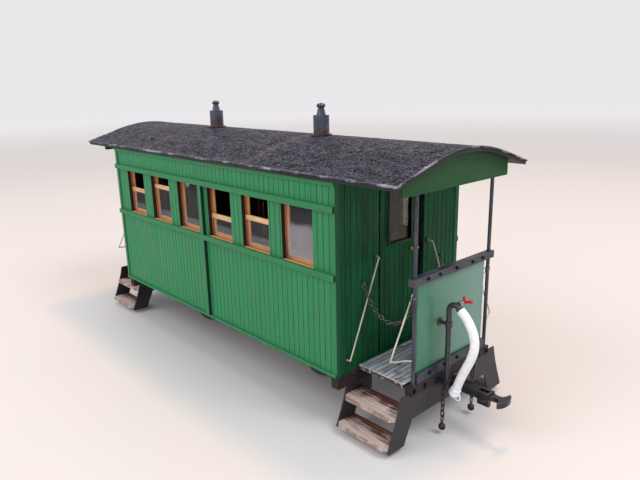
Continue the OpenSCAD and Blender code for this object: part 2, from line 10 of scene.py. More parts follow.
import bmesh
import bpy
import numpy as np
from mathutils import Matrix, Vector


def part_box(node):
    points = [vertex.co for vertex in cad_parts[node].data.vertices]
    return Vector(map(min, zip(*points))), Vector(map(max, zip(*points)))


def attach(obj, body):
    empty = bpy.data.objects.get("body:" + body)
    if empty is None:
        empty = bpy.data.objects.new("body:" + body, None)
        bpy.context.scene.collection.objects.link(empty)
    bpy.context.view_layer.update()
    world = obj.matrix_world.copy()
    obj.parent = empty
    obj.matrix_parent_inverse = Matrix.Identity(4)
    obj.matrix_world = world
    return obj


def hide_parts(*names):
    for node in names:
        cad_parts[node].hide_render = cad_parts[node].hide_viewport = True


bl_info = {
    "name": "Narrow-gauge model coach",
    "version": (1, 0, 0),
    "blender": (4, 5, 0),
    "location": "View3D > Sidebar > Coach",
    "description": "Finishes and fine pieces for a planked two-axle model coach",
    "category": "Object",
}

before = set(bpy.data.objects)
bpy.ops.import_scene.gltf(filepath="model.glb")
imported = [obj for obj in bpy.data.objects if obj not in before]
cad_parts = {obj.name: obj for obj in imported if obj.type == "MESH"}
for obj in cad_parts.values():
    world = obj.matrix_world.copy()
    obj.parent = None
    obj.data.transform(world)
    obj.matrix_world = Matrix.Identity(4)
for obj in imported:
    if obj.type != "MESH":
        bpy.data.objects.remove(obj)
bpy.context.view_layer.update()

# The coach's outer faces, from the frame, and its two ends and four corners as signs of x and y.
MM = 0.001
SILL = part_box("side_wall_right")[0].z
WALL_FACE = -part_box("side_wall_right")[0].y
END_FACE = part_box("end_wall_front")[1].x
END_PLANK_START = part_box("end_wall_front")[0].y
END_PLANK_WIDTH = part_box("end_wall_front")[1].y - END_PLANK_START
HEAD_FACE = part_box("headstocks")[1].x
ROOF_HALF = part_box("roof_felt")[1].y
ROOF_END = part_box("roof_felt")[1].x
ROOF_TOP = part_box("roof_felt")[1].z
ENDS = (("front", 1), ("rear", -1))
QUADRANTS = tuple((sx, sy) for _, sx in ENDS for sy in (1, -1))

# Boards: how many are laid side by side, half the door's and half a groove's width, and the
# painted shade of every face that looks into the cabin.
SIDE_PLANKS = 56
END_PLANKS = 23
DOOR_PLANKS = 8
FLOOR_PLANKS = 10
DOOR_HALF = 0.0148
GROOVE_HALF = 0.00023
CABIN_SHADE = (30, 24, 20)

# Windows: their openings in the wall, their spacing, where the front one begins, the openings
# of their linings, and how far inside a wall's and a lining's outer face the painted cabin shade
# begins.
OPENING_LOW = SILL + 0.0514
OPENING_HIGH = SILL + 0.0808
WINDOWS_PER_SIDE = 6
WINDOW_PITCH = 0.0332
FRONT_WINDOW = 0.067
LINING_HALF = 0.0097
LINING_LOW = SILL + 0.0536
LINING_HIGH = SILL + 0.0789
SASH_RAIL_HEIGHT = 0.0028
WALL_SHADE_DEPTH = 0.0018
LINING_SHADE_DEPTH = 0.0022

# Roof: the rise of its arch, the felt's thickness and the places of its two laps.
ROOF_RISE = 0.0112
FELT_THICK = 0.0009
ROOF_SEAMS = (-0.064, 0.045)

# Steps: a height between the upper and the lower boards, and how far the lower ones stand out.
BETWEEN_TREADS = SILL - 0.018
LOWER_TREAD_REACH = 0.0055


# ---- numbers and surfaces ----


def placed(points, sx=1, sy=1):
    """Points given in millimetres above the sill, in metres in the frame's own axes. They are
    reflected into a quadrant of the plan: x times sx and y times sy."""
    return np.array(points, float) * (sx, sy, 1) * MM + (0.0, 0.0, SILL)


def linear(colour):
    """A display colour, 0 to 255, as linear red, green, blue and alpha."""
    c = np.array(colour[:3], float) / 255
    c = np.where(c <= 0.04045, c / 12.92, ((c + 0.055) / 1.055) ** 2.4)
    return (*(float(v) for v in c), 1.0)


def unit(v):
    """The vectors at length one."""
    return v / np.maximum(np.linalg.norm(v, axis=-1, keepdims=True), 1e-12)


def rounded_path(points, per_span=6):
    """A smooth line through the points. Each span is the Catmull-Rom blend of four neighbours,
    0.5 (2 p1 + (p2 - p0) t + (2 p0 - 5 p1 + 4 p2 - p3) t^2 + (3 p1 - p0 - 3 p2 + p3) t^3)."""
    p = np.asarray(points, float)
    p = np.vstack([2 * p[0] - p[1], p, 2 * p[-1] - p[-2]])
    t = np.linspace(0, 1, per_span, endpoint=False)[:, None]
    a, b, c, d = (p[k : len(p) - 3 + k][:, None, :] for k in range(4))
    spans = 0.5 * (2 * b + (c - a) * t + (2 * a - 5 * b + 4 * c - d) * t**2
                   + (3 * b - a - 3 * c + d) * t**3)
    return np.vstack([spans.reshape(-1, 3), p[-2]])


def bent(points, sx=1, sy=1, per_span=8):
    """A smooth line through points given in millimetres, reflected into a quadrant."""
    return rounded_path(placed(points, sx, sy), per_span)


def even_path(points, count):
    """The same line with points at equal steps of its length."""
    p = np.asarray(points, float)
    s = np.concatenate([[0], np.cumsum(np.linalg.norm(np.diff(p, axis=0), axis=1))])
    at = np.linspace(0, s[-1], count)
    return np.stack([np.interp(at, s, p[:, k]) for k in range(3)], axis=1)


def path_length(points):
    """The length of a line through the points."""
    return float(np.linalg.norm(np.diff(points, axis=0), axis=1).sum())


def side_vectors(path, reference):
    """Two unit vectors across a line at each point: reference x tangent, and tangent x that."""
    tangent = unit(np.gradient(path, axis=0))
    a = unit(np.cross(np.broadcast_to(np.array(reference, float), tangent.shape), tangent))
    return a, np.cross(tangent, a)


def grid_faces(nu, nv, close_u, close_v):
    """Quads of a grid whose first index runs nu long, wrapping where it closes."""
    i = np.arange(nu if close_u else nu - 1)
    j = np.arange(nv if close_v else nv - 1)
    i, j = (g.ravel() for g in np.meshgrid(i, j, indexing="ij"))
    i2, j2 = (i + 1) % nu, (j + 1) % nv
    return np.stack([i * nv + j, i2 * nv + j, i2 * nv + j2, i * nv + j2], axis=1).tolist()


def surface(name, grids, close_u=True, close_v=False, caps=True, sharp=40, smooth=True):
    """One mesh object from grids of points. Each grid is closed in u, v or by a cap over each
    end row of v, its doubled points are merged and its faces are turned outwards."""
    points, faces = [], []
    for grid in grids:
        nu, nv = grid.shape[:2]
        start = sum(len(p) for p in points)
        points.append(grid.reshape(-1, 3))
        quads = grid_faces(nu, nv, close_u, close_v)
        if caps:
            first = [i * nv for i in range(nu)]
            quads += [first[::-1], [k + nv - 1 for k in first]]
        faces += [[k + start for k in f] for f in quads]
    mesh = bpy.data.meshes.new(name)
    mesh.from_pydata(np.vstack(points).tolist(), [], faces)
    bm = bmesh.new()
    bm.from_mesh(mesh)
    bmesh.ops.remove_doubles(bm, verts=bm.verts, dist=1e-7)
    bmesh.ops.dissolve_degenerate(bm, edges=bm.edges, dist=1e-8)
    bmesh.ops.recalc_face_normals(bm, faces=bm.faces)
    bm.to_mesh(mesh)
    bm.free()
    mesh.validate()
    if smooth:
        mesh.shade_smooth()
        mesh.set_sharp_from_angle(angle=math.radians(sharp))
    obj = bpy.data.objects.new(name, mesh)
    bpy.context.scene.collection.objects.link(obj)
    return obj


def tube(path, radius, sides=12, reference=(0, 1, 0), ripple=0.0, turns=0.0):
    """A round bar along a path: centre + r (cos u a + sin u b), with r = radius (1 + ripple
    sin(2 (u - twist))), where the twist grows by the number of turns along the path."""
    path = np.asarray(path, float)
    a, b = side_vectors(path, reference)
    u = np.linspace(0, 2 * np.pi, sides, endpoint=False)[:, None]
    twist = np.linspace(0, 2 * np.pi * turns, len(path))[None, :]
    r = np.broadcast_to(radius, (len(path),))[None, :] * (1 + ripple * np.sin(2 * (u - twist)))
    return (path[None] + (r * np.cos(u))[..., None] * a[None]
            + (r * np.sin(u))[..., None] * b[None])


def lathe(profile, centre, axis, sides=32):
    """A turned piece: each profile pair is (radius, height along the axis), swept round it."""
    profile = np.asarray(profile, float)
    axis = unit(np.asarray(axis, float))
    helper = (0, 0, 1) if abs(axis[2]) < 0.9 else (1, 0, 0)
    a = unit(np.cross(helper, axis))
    b = np.cross(axis, a)
    u = np.linspace(0, 2 * np.pi, sides, endpoint=False)
    around = np.cos(u)[:, None] * a + np.sin(u)[:, None] * b
    return (np.asarray(centre, float) + around[:, None, :] * profile[None, :, :1]
            + axis * profile[None, :, 1:])


def rounded_box(low, high, radius, steps=3):
    """A box with round edges: the nearest corner of the box shrunk by the radius, plus the
    radius times the direction (cos v cos u, cos v sin u, sin v)."""
    low, high = np.minimum(low, high), np.maximum(low, high)
    quarter = np.linspace(0, np.pi / 2, steps + 1)
    u = np.concatenate([quarter + k * np.pi / 2 for k in range(4)])
    v = np.concatenate([quarter - np.pi / 2, quarter])
    u, v = np.meshgrid(u, v, indexing="ij")
    corner_x = np.repeat([1, -1, -1, 1], steps + 1)[:, None] * np.ones_like(v)
    corner_y = np.repeat([1, 1, -1, -1], steps + 1)[:, None] * np.ones_like(v)
    corner_z = np.repeat([-1, 1], steps + 1)[None, :] * np.ones_like(v)
    corner = np.stack([corner_x, corner_y, corner_z], axis=-1)
    way = np.stack([np.cos(v) * np.cos(u), np.cos(v) * np.sin(u), np.sin(v)], axis=-1)
    half = (high - low) / 2 - radius
    return (low + high) / 2 + corner * half + radius * way


def lattice(x, y, cell, seed):
    """Smooth random height, 0 to 1: random values at the crossings of square cells, joined by
    the cubic 3 t^2 - 2 t^3 along both sides of a cell."""
    values = np.random.default_rng(seed).random((257, 257))
    gx, gy = x / cell + 128, y / cell + 128
    i, j = np.floor(gx).astype(int), np.floor(gy).astype(int)
    fx, fy = gx - i, gy - j
    fx, fy = fx * fx * (3 - 2 * fx), fy * fy * (3 - 2 * fy)
    i, j = i % 256, j % 256
    top = values[i, j] * (1 - fx) + values[i + 1, j] * fx
    low = values[i, j + 1] * (1 - fx) + values[i + 1, j + 1] * fx
    return top * (1 - fy) + low * fy


# ---- shader nodes ----


def feed(tree, socket, value):
    """Links a node's input to another node's output, or fills it with a plain value."""
    if isinstance(value, bpy.types.NodeSocket):
        tree.links.new(value, socket)
    else:
        socket.default_value = value


def node(tree, kind, inputs=None, **settings):
    """Adds a node, sets its properties, and feeds its inputs by name or number."""
    made = tree.nodes.new(kind)
    for key, value in settings.items():
        setattr(made, key, value)
    for key, value in (inputs or {}).items():
        feed(tree, made.inputs[key], value)
    return made


def calc(tree, operation, a, b=0.0, c=0.0):
    """One sum on up to three numbers."""
    return node(tree, "ShaderNodeMath", {0: a, 1: b, 2: c}, operation=operation).outputs[0]


def step_between(tree, value, low, high, out_low=0.0, out_high=1.0):
    """A smooth step: out_low at a value of low, out_high at a value of high."""
    return node(tree, "ShaderNodeMapRange",
                {"Value": value, "From Min": low, "From Max": high, "To Min": out_low,
                 "To Max": out_high}, interpolation_type="SMOOTHSTEP").outputs[0]


def new_group(name, inputs, outputs):
    """An empty node group with its named sockets, and its input and output nodes."""
    group = bpy.data.node_groups.new(name, "ShaderNodeTree")
    for label, kind, default in inputs:
        socket = group.interface.new_socket(label, in_out="INPUT", socket_type=kind)
        if default is not None:
            socket.default_value = default
    for label, kind in outputs:
        group.interface.new_socket(label, in_out="OUTPUT", socket_type=kind)
    return group, group.nodes.new("NodeGroupInput").outputs, group.nodes.new("NodeGroupOutput")


def grouped(tree, name, inputs):
    """The outputs of a node group placed in a material with its own values."""
    return node(tree, "ShaderNodeGroup", inputs, node_tree=bpy.data.node_groups[name]).outputs


def plank_rows_group():
    """Which board a point is on, as a random shade, and how near it is to a groove."""
    group, given, out = new_group(
        "Plank rows",
        [("Along", "NodeSocketFloat", 0.0), ("Start", "NodeSocketFloat", 0.0),
         ("Pitch", "NodeSocketFloat", 0.0039), ("Groove", "NodeSocketFloat", 0.0003)],
        [("Board", "NodeSocketFloat"), ("Groove", "NodeSocketFloat")])
    place = calc(group, "DIVIDE", calc(group, "SUBTRACT", given["Along"], given["Start"]),
                 given["Pitch"])
    board = node(group, "ShaderNodeTexWhiteNoise",
                 {"W": calc(group, "FLOOR", place)}, noise_dimensions="1D")
    nearest = calc(group, "ABSOLUTE", calc(group, "SUBTRACT", place, calc(group, "ROUND", place)))
    near = calc(group, "DIVIDE", calc(group, "MULTIPLY", nearest, given["Pitch"]), given["Groove"])
    group.links.new(board.outputs["Value"], out.inputs["Board"])
    group.links.new(step_between(group, near, 1.0, 0.35), out.inputs["Groove"])


def fibre_group():
    """Streaks along one way, from noise stretched along it, and soft blotches."""
    group, given, out = new_group(
        "Fibre",
        [("Vector", "NodeSocketVector", None), ("Stretch", "NodeSocketVector", (1, 1, 1)),
         ("Detail", "NodeSocketFloat", 4.0), ("Patch", "NodeSocketFloat", 60.0)],
        [("Streak", "NodeSocketFloat"), ("Blotch", "NodeSocketFloat")])
    scaled = node(group, "ShaderNodeVectorMath", {0: given["Vector"], 1: given["Stretch"]},
                  operation="MULTIPLY")
    streak = node(group, "ShaderNodeTexNoise",
                  {"Vector": scaled.outputs[0], "Scale": 1.0, "Detail": given["Detail"],
                   "Roughness": 0.6})
    blotch = node(group, "ShaderNodeTexNoise",
                  {"Vector": given["Vector"], "Scale": given["Patch"], "Detail": 3.0,
                   "Roughness": 0.55})
    group.links.new(step_between(group, streak.outputs[0], 0.3, 0.7), out.inputs["Streak"])
    group.links.new(step_between(group, blotch.outputs[0], 0.3, 0.7), out.inputs["Blotch"])


def worn_edge_group():
    """Bare or rubbed strip beside an edge: the distance to it, broken up by fine noise."""
    group, given, out = new_group(
        "Worn edge",
        [("Vector", "NodeSocketVector", None), ("Distance", "NodeSocketFloat", 1.0),
         ("Width", "NodeSocketFloat", 0.0004), ("Scale", "NodeSocketFloat", 900.0)],
        [("Mask", "NodeSocketFloat")])
    speck = node(group, "ShaderNodeTexNoise",
                 {"Vector": given["Vector"], "Scale": given["Scale"], "Detail": 3.0})
    reach = calc(group, "MULTIPLY", given["Width"],
                 step_between(group, speck.outputs[0], 0.35, 0.65, 0.25, 1.5))
    near = calc(group, "DIVIDE", given["Distance"], reach)
    group.links.new(step_between(group, near, 1.0, 0.6), out.inputs["Mask"])


class Finish:
    """A material with its Principled shader and the coordinates of its object. Its colour is
    built up by cover and fed to the shader by finished."""

    def __init__(self, name, roughness=0.6, metallic=0.0):
        self.material = bpy.data.materials.new(name)
        self.material.use_nodes = True
        self.tree = self.material.node_tree
        self.shader = self.tree.nodes["Principled BSDF"]
        self.shader.inputs["Metallic"].default_value = metallic
        self.shader.inputs["Roughness"].default_value = roughness
        coordinates = node(self.tree, "ShaderNodeTexCoord").outputs
        self.place = coordinates["Object"]
        parts = node(self.tree, "ShaderNodeSeparateXYZ", {0: self.place}).outputs
        self.x, self.y, self.z = parts[0], parts[1], parts[2]
        self.facing = node(self.tree, "ShaderNodeSeparateXYZ", {0: coordinates["Normal"]}).outputs

    def set(self, socket, value):
        """Feeds an input of the shader."""
        feed(self.tree, self.shader.inputs[socket], value)

    def bump(self, height, distance, strength):
        """Raises the surface by a height, 0 to 1, times a distance in metres."""
        made = node(self.tree, "ShaderNodeBump", {"Height": height, "Distance": distance,
                                                  "Strength": strength})
        self.set("Normal", made.outputs[0])

    def calc(self, operation, a, b=0.0, c=0.0):
        """One sum on up to three numbers."""
        return calc(self.tree, operation, a, b, c)

    def weighted(self, *terms):
        """The sum of values, each times its weight."""
        total = 0.0
        for value, weight in reversed(terms):
            total = self.calc("MULTIPLY_ADD", value, weight, total)
        return total

    def step(self, value, low, high, out_low=0.0, out_high=1.0):
        """A smooth step: out_low at a value of low, out_high at a value of high."""
        return step_between(self.tree, value, low, high, out_low, out_high)

    def over(self, mask, below, colour):
        """The colour below, covered by another where the mask is one."""
        return node(self.tree, "ShaderNodeMix", {0: mask, 6: below, 7: colour},
                    data_type="RGBA").outputs[2]

    def cover(self, mask, colour):
        """Lays a colour over the finish's own where the mask is one."""
        self.colour = self.over(mask, self.colour, colour)

    def finished(self):
        """Feeds the colour to the shader and gives the material."""
        self.set("Base Color", self.colour)
        return self.material

    def fibres(self, stretch, patch, detail=4.0):
        """Streaks and blotches of the Fibre group, on the object's own coordinates."""
        return grouped(self.tree, "Fibre", {"Vector": self.place, "Stretch": stretch,
                                            "Detail": detail, "Patch": patch})

    def boards(self, along, start, pitch):
        """Boards of one width laid side by side along a coordinate."""
        return grouped(self.tree, "Plank rows", {"Along": along, "Start": start, "Pitch": pitch,
                                                 "Groove": GROOVE_HALF})

    def worn_edge(self, distance, width, scale):
        """A broken strip of wear beside an edge that lies at a distance of nought."""
        return grouped(self.tree, "Worn edge", {"Vector": self.place, "Distance": distance,
                                                "Width": width, "Scale": scale})["Mask"]

    def inside(self, coordinate, limit):
        """A mask of one where a coordinate is nearer to the coach's middle than a limit."""
        return self.calc("LESS_THAN", self.calc("ABSOLUTE", coordinate), limit)

    def between(self, coordinate, low, high):
        """A mask of one where a coordinate lies between two limits."""
        return self.calc("MULTIPLY", self.calc("GREATER_THAN", coordinate, low),
                         self.calc("LESS_THAN", coordinate, high))

    def noise(self, scale, detail=3.0, rough=0.55, stretch=None):
        """Noise of a scale, on coordinates that may be stretched first."""
        where = self.place
        if stretch is not None:
            where = node(self.tree, "ShaderNodeVectorMath", {0: where, 1: stretch},
                         operation="MULTIPLY").outputs[0]
        return node(self.tree, "ShaderNodeTexNoise",
                    {"Vector": where, "Scale": scale, "Detail": detail,
                     "Roughness": rough}).outputs[0]


def shades(colour, dark, light):
    """A darker and a lighter shade of a colour."""
    c = np.array(linear(colour))
    return tuple((c * dark)[:3]) + (1.0,), tuple(np.minimum(c * light, 1)[:3]) + (1.0,)


def deeper(colour, share):
    """A share of a linear colour, which is a darker one, with its alpha at one."""
    return tuple(v * share for v in colour[:3]) + (1.0,)


def painted_boards(name, colour, rows=None, fibre="z", roughness=0.5, sheen=0.35, rubbed=None,
                   shade_inside=None, reveals=(), spread=(0.82, 1.18), brush=0.00009):
    """Brush-painted boards, with streaks along the fibres and small nicks. Rows are the boards'
    axis,
    start and width: each board has its own tone, and dark, broken grooves part them. The shade
    inside is an axis and a distance from the coach's middle, within which faces carry a painted
    shade for the dark cabin. Each reveal colours the faces across one axis, number 0 to 2, between
    two heights."""
    f = Finish(name, roughness)
    stretch = {"x": (60, 1500, 1500), "y": (1500, 60, 1500), "z": (1500, 1500, 60)}[fibre]
    fibres = f.fibres(stretch, 45.0)
    dark, light = shades(colour, *spread)
    tone = f.weighted((fibres["Streak"], 0.5), (fibres["Blotch"], 0.3))
    if rows:
        axis, start, width = rows
        planks = f.boards(getattr(f, axis), start, width)
        tone = f.calc("MULTIPLY_ADD", planks["Board"], 0.18, tone)
    f.colour = f.over(tone, dark, light)
    if rows:
        broken = f.step(f.noise(330, 4.0, 0.6, (1, 1, 0.3)), 0.36, 0.58, 0.3, 1.0)
        f.cover(f.calc("MULTIPLY", planks["Groove"], broken), deeper(dark, 0.12))
    nick = f.step(f.noise(520, 5.0, 0.65), 0.66, 0.74, 0, 0.55)
    f.cover(nick, deeper(dark, 0.4))
    if rubbed:
        rub = f.step(f.noise(260), 0.62, 0.75, 0, 0.5)
        f.cover(rub, linear(rubbed))
    for axis, shade, low, high in reveals:
        side_on = f.calc("GREATER_THAN", f.calc("ABSOLUTE", f.facing[axis]), 0.7)
        shown = f.calc("MULTIPLY", side_on, f.between(f.z, low, high))
        f.cover(shown, linear(shade))
    # Painted shade: faces inside the cabin are coloured dark for the shade there.
    if shade_inside:
        axis, limit = shade_inside
        f.cover(f.inside(getattr(f, axis), limit), linear(CABIN_SHADE))
    f.set("Roughness", f.calc("MULTIPLY_ADD", fibres["Blotch"], 0.18, roughness - 0.06))
    f.set("Specular IOR Level", sheen)
    f.bump(f.calc("MULTIPLY_ADD", f.noise(900, 3.0), 0.5, fibres["Streak"]), brush, 0.9)
    return f.finished()


def weathered_metal(name, colour, roughness=0.5, metallic=0.35, rust=0.0, light=1.35,
                    rust_colour=(92, 58, 40), rust_below=None):
    """Dark sheet or bar: uneven oxide, fine pits, and rust where the blotches are strongest
    and below a height."""
    f = Finish(name, roughness, metallic)
    dark, bright = shades(colour, 0.75, light)
    patch = f.noise(110, 4.0)
    grit = f.noise(1500, 2.0)
    tone = f.step(f.weighted((grit, 0.35), (patch, 0.65)), 0.36, 0.64)
    f.colour = f.over(tone, dark, bright)
    if rust:
        mask = f.step(f.noise(150, 5.0, 0.65), 0.66 - 0.3 * rust, 0.8 - 0.3 * rust, 0,
                      min(1.0, rust + 0.3))
        f.cover(mask, linear(rust_colour))
    if rust_below:
        level = f.calc("MULTIPLY_ADD", f.noise(600, 3.0), -0.006, f.z)
        foot = f.step(level, rust_below, rust_below - 0.004, 0, 0.75)
        f.cover(foot, linear(rust_colour))
    f.set("Roughness", f.step(patch, 0.3, 0.7, roughness - 0.1, roughness + 0.15))
    f.bump(f.calc("MULTIPLY_ADD", grit, 0.4, patch), 0.00008, 0.6)
    return f.finished()


def bare_wood(name, colour, fibre="x", shade_inside=None, lit_top=None):
    """Thin oiled strips: darker growth lines along the fibres and a soft sheen. Faces nearer to the
    middle than the shade inside, and those that look inwards, carry a painted shade for the dark
    cabin. A lit top colour, where one is given, is a painted highlight on upward faces."""
    f = Finish(name, 0.5)
    stretch = {"x": (110, 2200, 2200), "z": (2200, 2200, 110)}[fibre]
    fibres = f.fibres(stretch, 120.0, 5.0)
    dark, light = shades(colour, 0.62, 1.18)
    tone = f.weighted((fibres["Streak"], 0.6), (fibres["Blotch"], 0.4))
    f.colour = f.over(tone, dark, light)
    # Painted highlight: upward faces are given a paler colour for the light on them.
    if lit_top:
        up = f.calc("GREATER_THAN", f.facing[2], 0.7)
        f.cover(up, linear(lit_top))
    # Painted shade: faces inside the cabin and those that look into it are coloured dark.
    if shade_inside:
        outwards = f.calc("MULTIPLY", f.facing[1], f.calc("SIGN", f.y))
        turned_in = f.calc("LESS_THAN", outwards, -0.5)
        shaded_faces = f.calc("MAXIMUM", turned_in, f.inside(f.y, shade_inside))
        f.cover(shaded_faces, linear(CABIN_SHADE))
    f.set("Roughness", f.calc("MULTIPLY_ADD", fibres["Streak"], 0.15, 0.42))
    f.bump(fibres["Streak"], 0.00004, 0.6)
    return f.finished()


def weathered_floor(name, colour, edge_colour, stain_colour, end_colour, start, pitch):
    """Old floor boards: each its own grey, open grain, stains and pale rubbed arrises."""
    f = Finish(name, 0.7)
    rows = f.boards(f.calc("ABSOLUTE", f.x), start, pitch)
    fibres = f.fibres((1600, 90, 1600), 130.0, 6.0)
    dark, light = shades(colour, 0.42, 1.7)
    tone = f.weighted((rows["Board"], 0.35), (fibres["Streak"], 0.65))
    f.colour = f.over(tone, dark, light)
    stain = f.step(fibres["Blotch"], 0.62, 0.95, 0.0, 0.55)
    f.cover(stain, linear(stain_colour))
    arris = f.step(f.noise(700, stretch=(1, 0.4, 1)), 0.6, 0.75, 0, 0.7)
    f.cover(arris, linear(edge_colour))
    board_end = f.calc("SUBTRACT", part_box("platform_floors")[1].y, f.calc("ABSOLUTE", f.y))
    frayed = f.worn_edge(board_end, 0.0011, 650.0)
    flat = f.calc("GREATER_THAN", f.facing[2], 0.5)
    sawn = f.calc("GREATER_THAN", f.calc("ABSOLUTE", f.facing[1]), 0.7)
    f.cover(sawn, linear(stain_colour))
    chips = f.step(f.noise(420, 4.0), 0.5, 0.62, 0, 0.7)
    bare_end = f.calc("MULTIPLY", frayed, f.calc("MAXIMUM", flat, chips))
    f.cover(bare_end, linear(end_colour))
    f.cover(rows["Groove"], (0.008, 0.007, 0.007, 1))
    f.bump(fibres["Streak"], 0.00015, 0.9)
    return f.finished()


def trodden_boards(name, colour, worn_colour, edge_colour, rim_colour, worn_band, rim_band):
    """Step boards: dark where sheltered, rubbed pale towards the outer edge with long scratches.
    The bands are distances from the coach's middle on the upper boards."""
    f = Finish(name, 0.68)
    lower = f.calc("LESS_THAN", f.z, BETWEEN_TREADS)
    out = f.calc("MULTIPLY_ADD", lower, -LOWER_TREAD_REACH, f.calc("ABSOLUTE", f.y))
    fibres = f.fibres((90, 1500, 1500), 150.0, 6.0)
    dark, light = shades(colour, 0.6, 1.3)
    f.colour = f.over(fibres["Streak"], dark, light)
    reach = f.calc("MULTIPLY_ADD", fibres["Streak"], 0.006,
                   f.calc("MULTIPLY_ADD", fibres["Blotch"], 0.004, out))
    worn = f.step(reach, *worn_band, 0, 0.86)
    pale_dark, pale_light = shades(worn_colour, 0.72, 1.12)
    pale = f.over(fibres["Streak"], pale_dark, pale_light)
    f.cover(worn, pale)
    rim = f.calc("MULTIPLY", f.step(out, *rim_band), f.step(f.noise(190, 4.0), 0.4, 0.6, 0, 0.75))
    f.cover(rim, linear(rim_colour))
    scratch = f.step(f.noise(1, 5.0, 0.6, (70, 1100, 1100)), 0.62, 0.7, 0, 0.6)
    f.cover(scratch, linear(edge_colour))
    f.bump(fibres["Streak"], 0.00012, 0.8)
    return f.finished()


def smooth_coat(name, colour, roughness=0.3, coat=0.0, speckle=0.05):
    """A poured or dipped coat: nearly even colour, with faint handling marks."""
    f = Finish(name, roughness)
    dark, light = shades(colour, 1 - speckle * 2, 1 + speckle)
    marks = f.noise(350, 4.0)
    f.colour = f.over(f.step(marks, 0.35, 0.65), dark, light)
    f.set("Roughness", f.step(marks, 0.3, 0.7, roughness - 0.05, roughness + 0.15))
    f.set("Coat Weight", coat)
    f.bump(f.noise(1400, 2.0), 0.00003, 0.4)
    return f.finished()


def window_glass(name, dust_and_reflection_colour, dust_and_reflection_low, dust_and_reflection_high, thin, thick, framed=False):
    """Thin clear glass under a pale layer that thickens downwards between two heights: dust, and a
    painted reflection of the pale floor. Framed glass has more of it, and to a greater height, in
    the window next to the coach's front, carries a settled line of dust, and is wiped nearly clean
    over a lining."""
    f = Finish(name, 0.05)
    level = f.calc("MULTIPLY_ADD", f.noise(70, 3.0), 0.005, f.z)
    if framed:
        toward_front = f.step(f.x, FRONT_WINDOW - 0.001, FRONT_WINDOW + 0.001)
        level = f.calc("MULTIPLY_ADD", toward_front, -0.012, level)
    # Painted reflection with dust: the pale layer's alpha, thicker downwards.
    dust_and_reflection = f.step(level, dust_and_reflection_high, dust_and_reflection_low, thin, thick)
    if framed:
        dust_and_reflection = f.calc("MULTIPLY", dust_and_reflection, f.calc("MULTIPLY_ADD", toward_front, 0.84, 0.16))
        settled = f.step(f.z, dust_and_reflection_low + 0.0005, dust_and_reflection_low - 0.001, 0, 0.1)
        dust_and_reflection = f.calc("ADD", dust_and_reflection, settled)
        window = f.calc("SUBTRACT", f.calc("FRACT", f.calc("DIVIDE", f.x, WINDOW_PITCH)), 0.5)
        off_middle = f.calc("MULTIPLY", f.calc("ABSOLUTE", window), WINDOW_PITCH)
        over_pane = f.calc("MULTIPLY", f.calc("LESS_THAN", off_middle, LINING_HALF),
                           f.between(f.z, LINING_LOW, LINING_HIGH))
        dust_and_reflection = f.calc("MAXIMUM", f.calc("MULTIPLY", dust_and_reflection, over_pane), 0.05)
    smear = f.step(f.noise(130, 4.0), 0.35, 0.7, 0.85, 1.1)
    f.colour = linear(dust_and_reflection_colour)
    f.set("Alpha", f.calc("MULTIPLY", dust_and_reflection, smear))
    f.set("Specular IOR Level", 0.5)
    return f.finished()


def roof_felt_finish(name, colour, light_colour, seam_colour, seam_width):
    """Tarred felt: charcoal with a sheen and a painted highlight and shade on its creases, scuffed
    eaves and stains at the laps.
    """
    f = Finish(name, 0.5)
    crease = f.noise(1, 2.0, 0.6, (880, 1900, 1900))
    patch = f.noise(30, 4.0)
    dark, light = shades(colour, 0.1, 3.1)
    ridge_shading = node(f.tree, "ShaderNodeAttribute", attribute_name="ridge_shading").outputs["Fac"]
    # Painted highlight and shade: the crease noise and the crest shading spread the felt's colour
    # from dark to light for the light on its crinkles; the sheen that follows them is real.
    tone = f.step(f.weighted((crease, 0.68), (ridge_shading, 0.24), (patch, 0.08)), 0.38, 0.66)
    f.colour = f.over(tone, dark, light)
    f.set("Specular IOR Level", f.calc("MULTIPLY_ADD", tone, 0.75, 0.05))
    for place in ROOF_SEAMS:
        off = f.calc("ABSOLUTE", f.calc("SUBTRACT", f.x, place))
        wander = f.calc("MULTIPLY_ADD", f.noise(60, 2.0), -0.004, off)
        band = f.step(wander, seam_width, -0.002, 0, 0.6)
        torn = f.step(f.noise(210, 5.0, 0.65), 0.38, 0.62, 0.1, 1)
        f.cover(f.calc("MULTIPLY", band, torn), linear(seam_colour))
    eave = f.calc("SUBTRACT", ROOF_HALF, f.calc("ABSOLUTE", f.y))
    gable = f.calc("SUBTRACT", ROOF_END, f.calc("ABSOLUTE", f.x))
    worn = f.worn_edge(f.calc("MINIMUM", eave, gable), 0.0013, 480.0)
    patchy = f.step(f.noise(85, 5.0, 0.65), 0.46, 0.6, 0.04, 0.95)
    f.cover(f.calc("MULTIPLY", worn, patchy), linear(light_colour))
    f.set("Roughness", f.step(patch, 0.3, 0.7, 0.36, 0.52))
    f.bump(crease, 0.0022, 1.0)
    return f.finished()


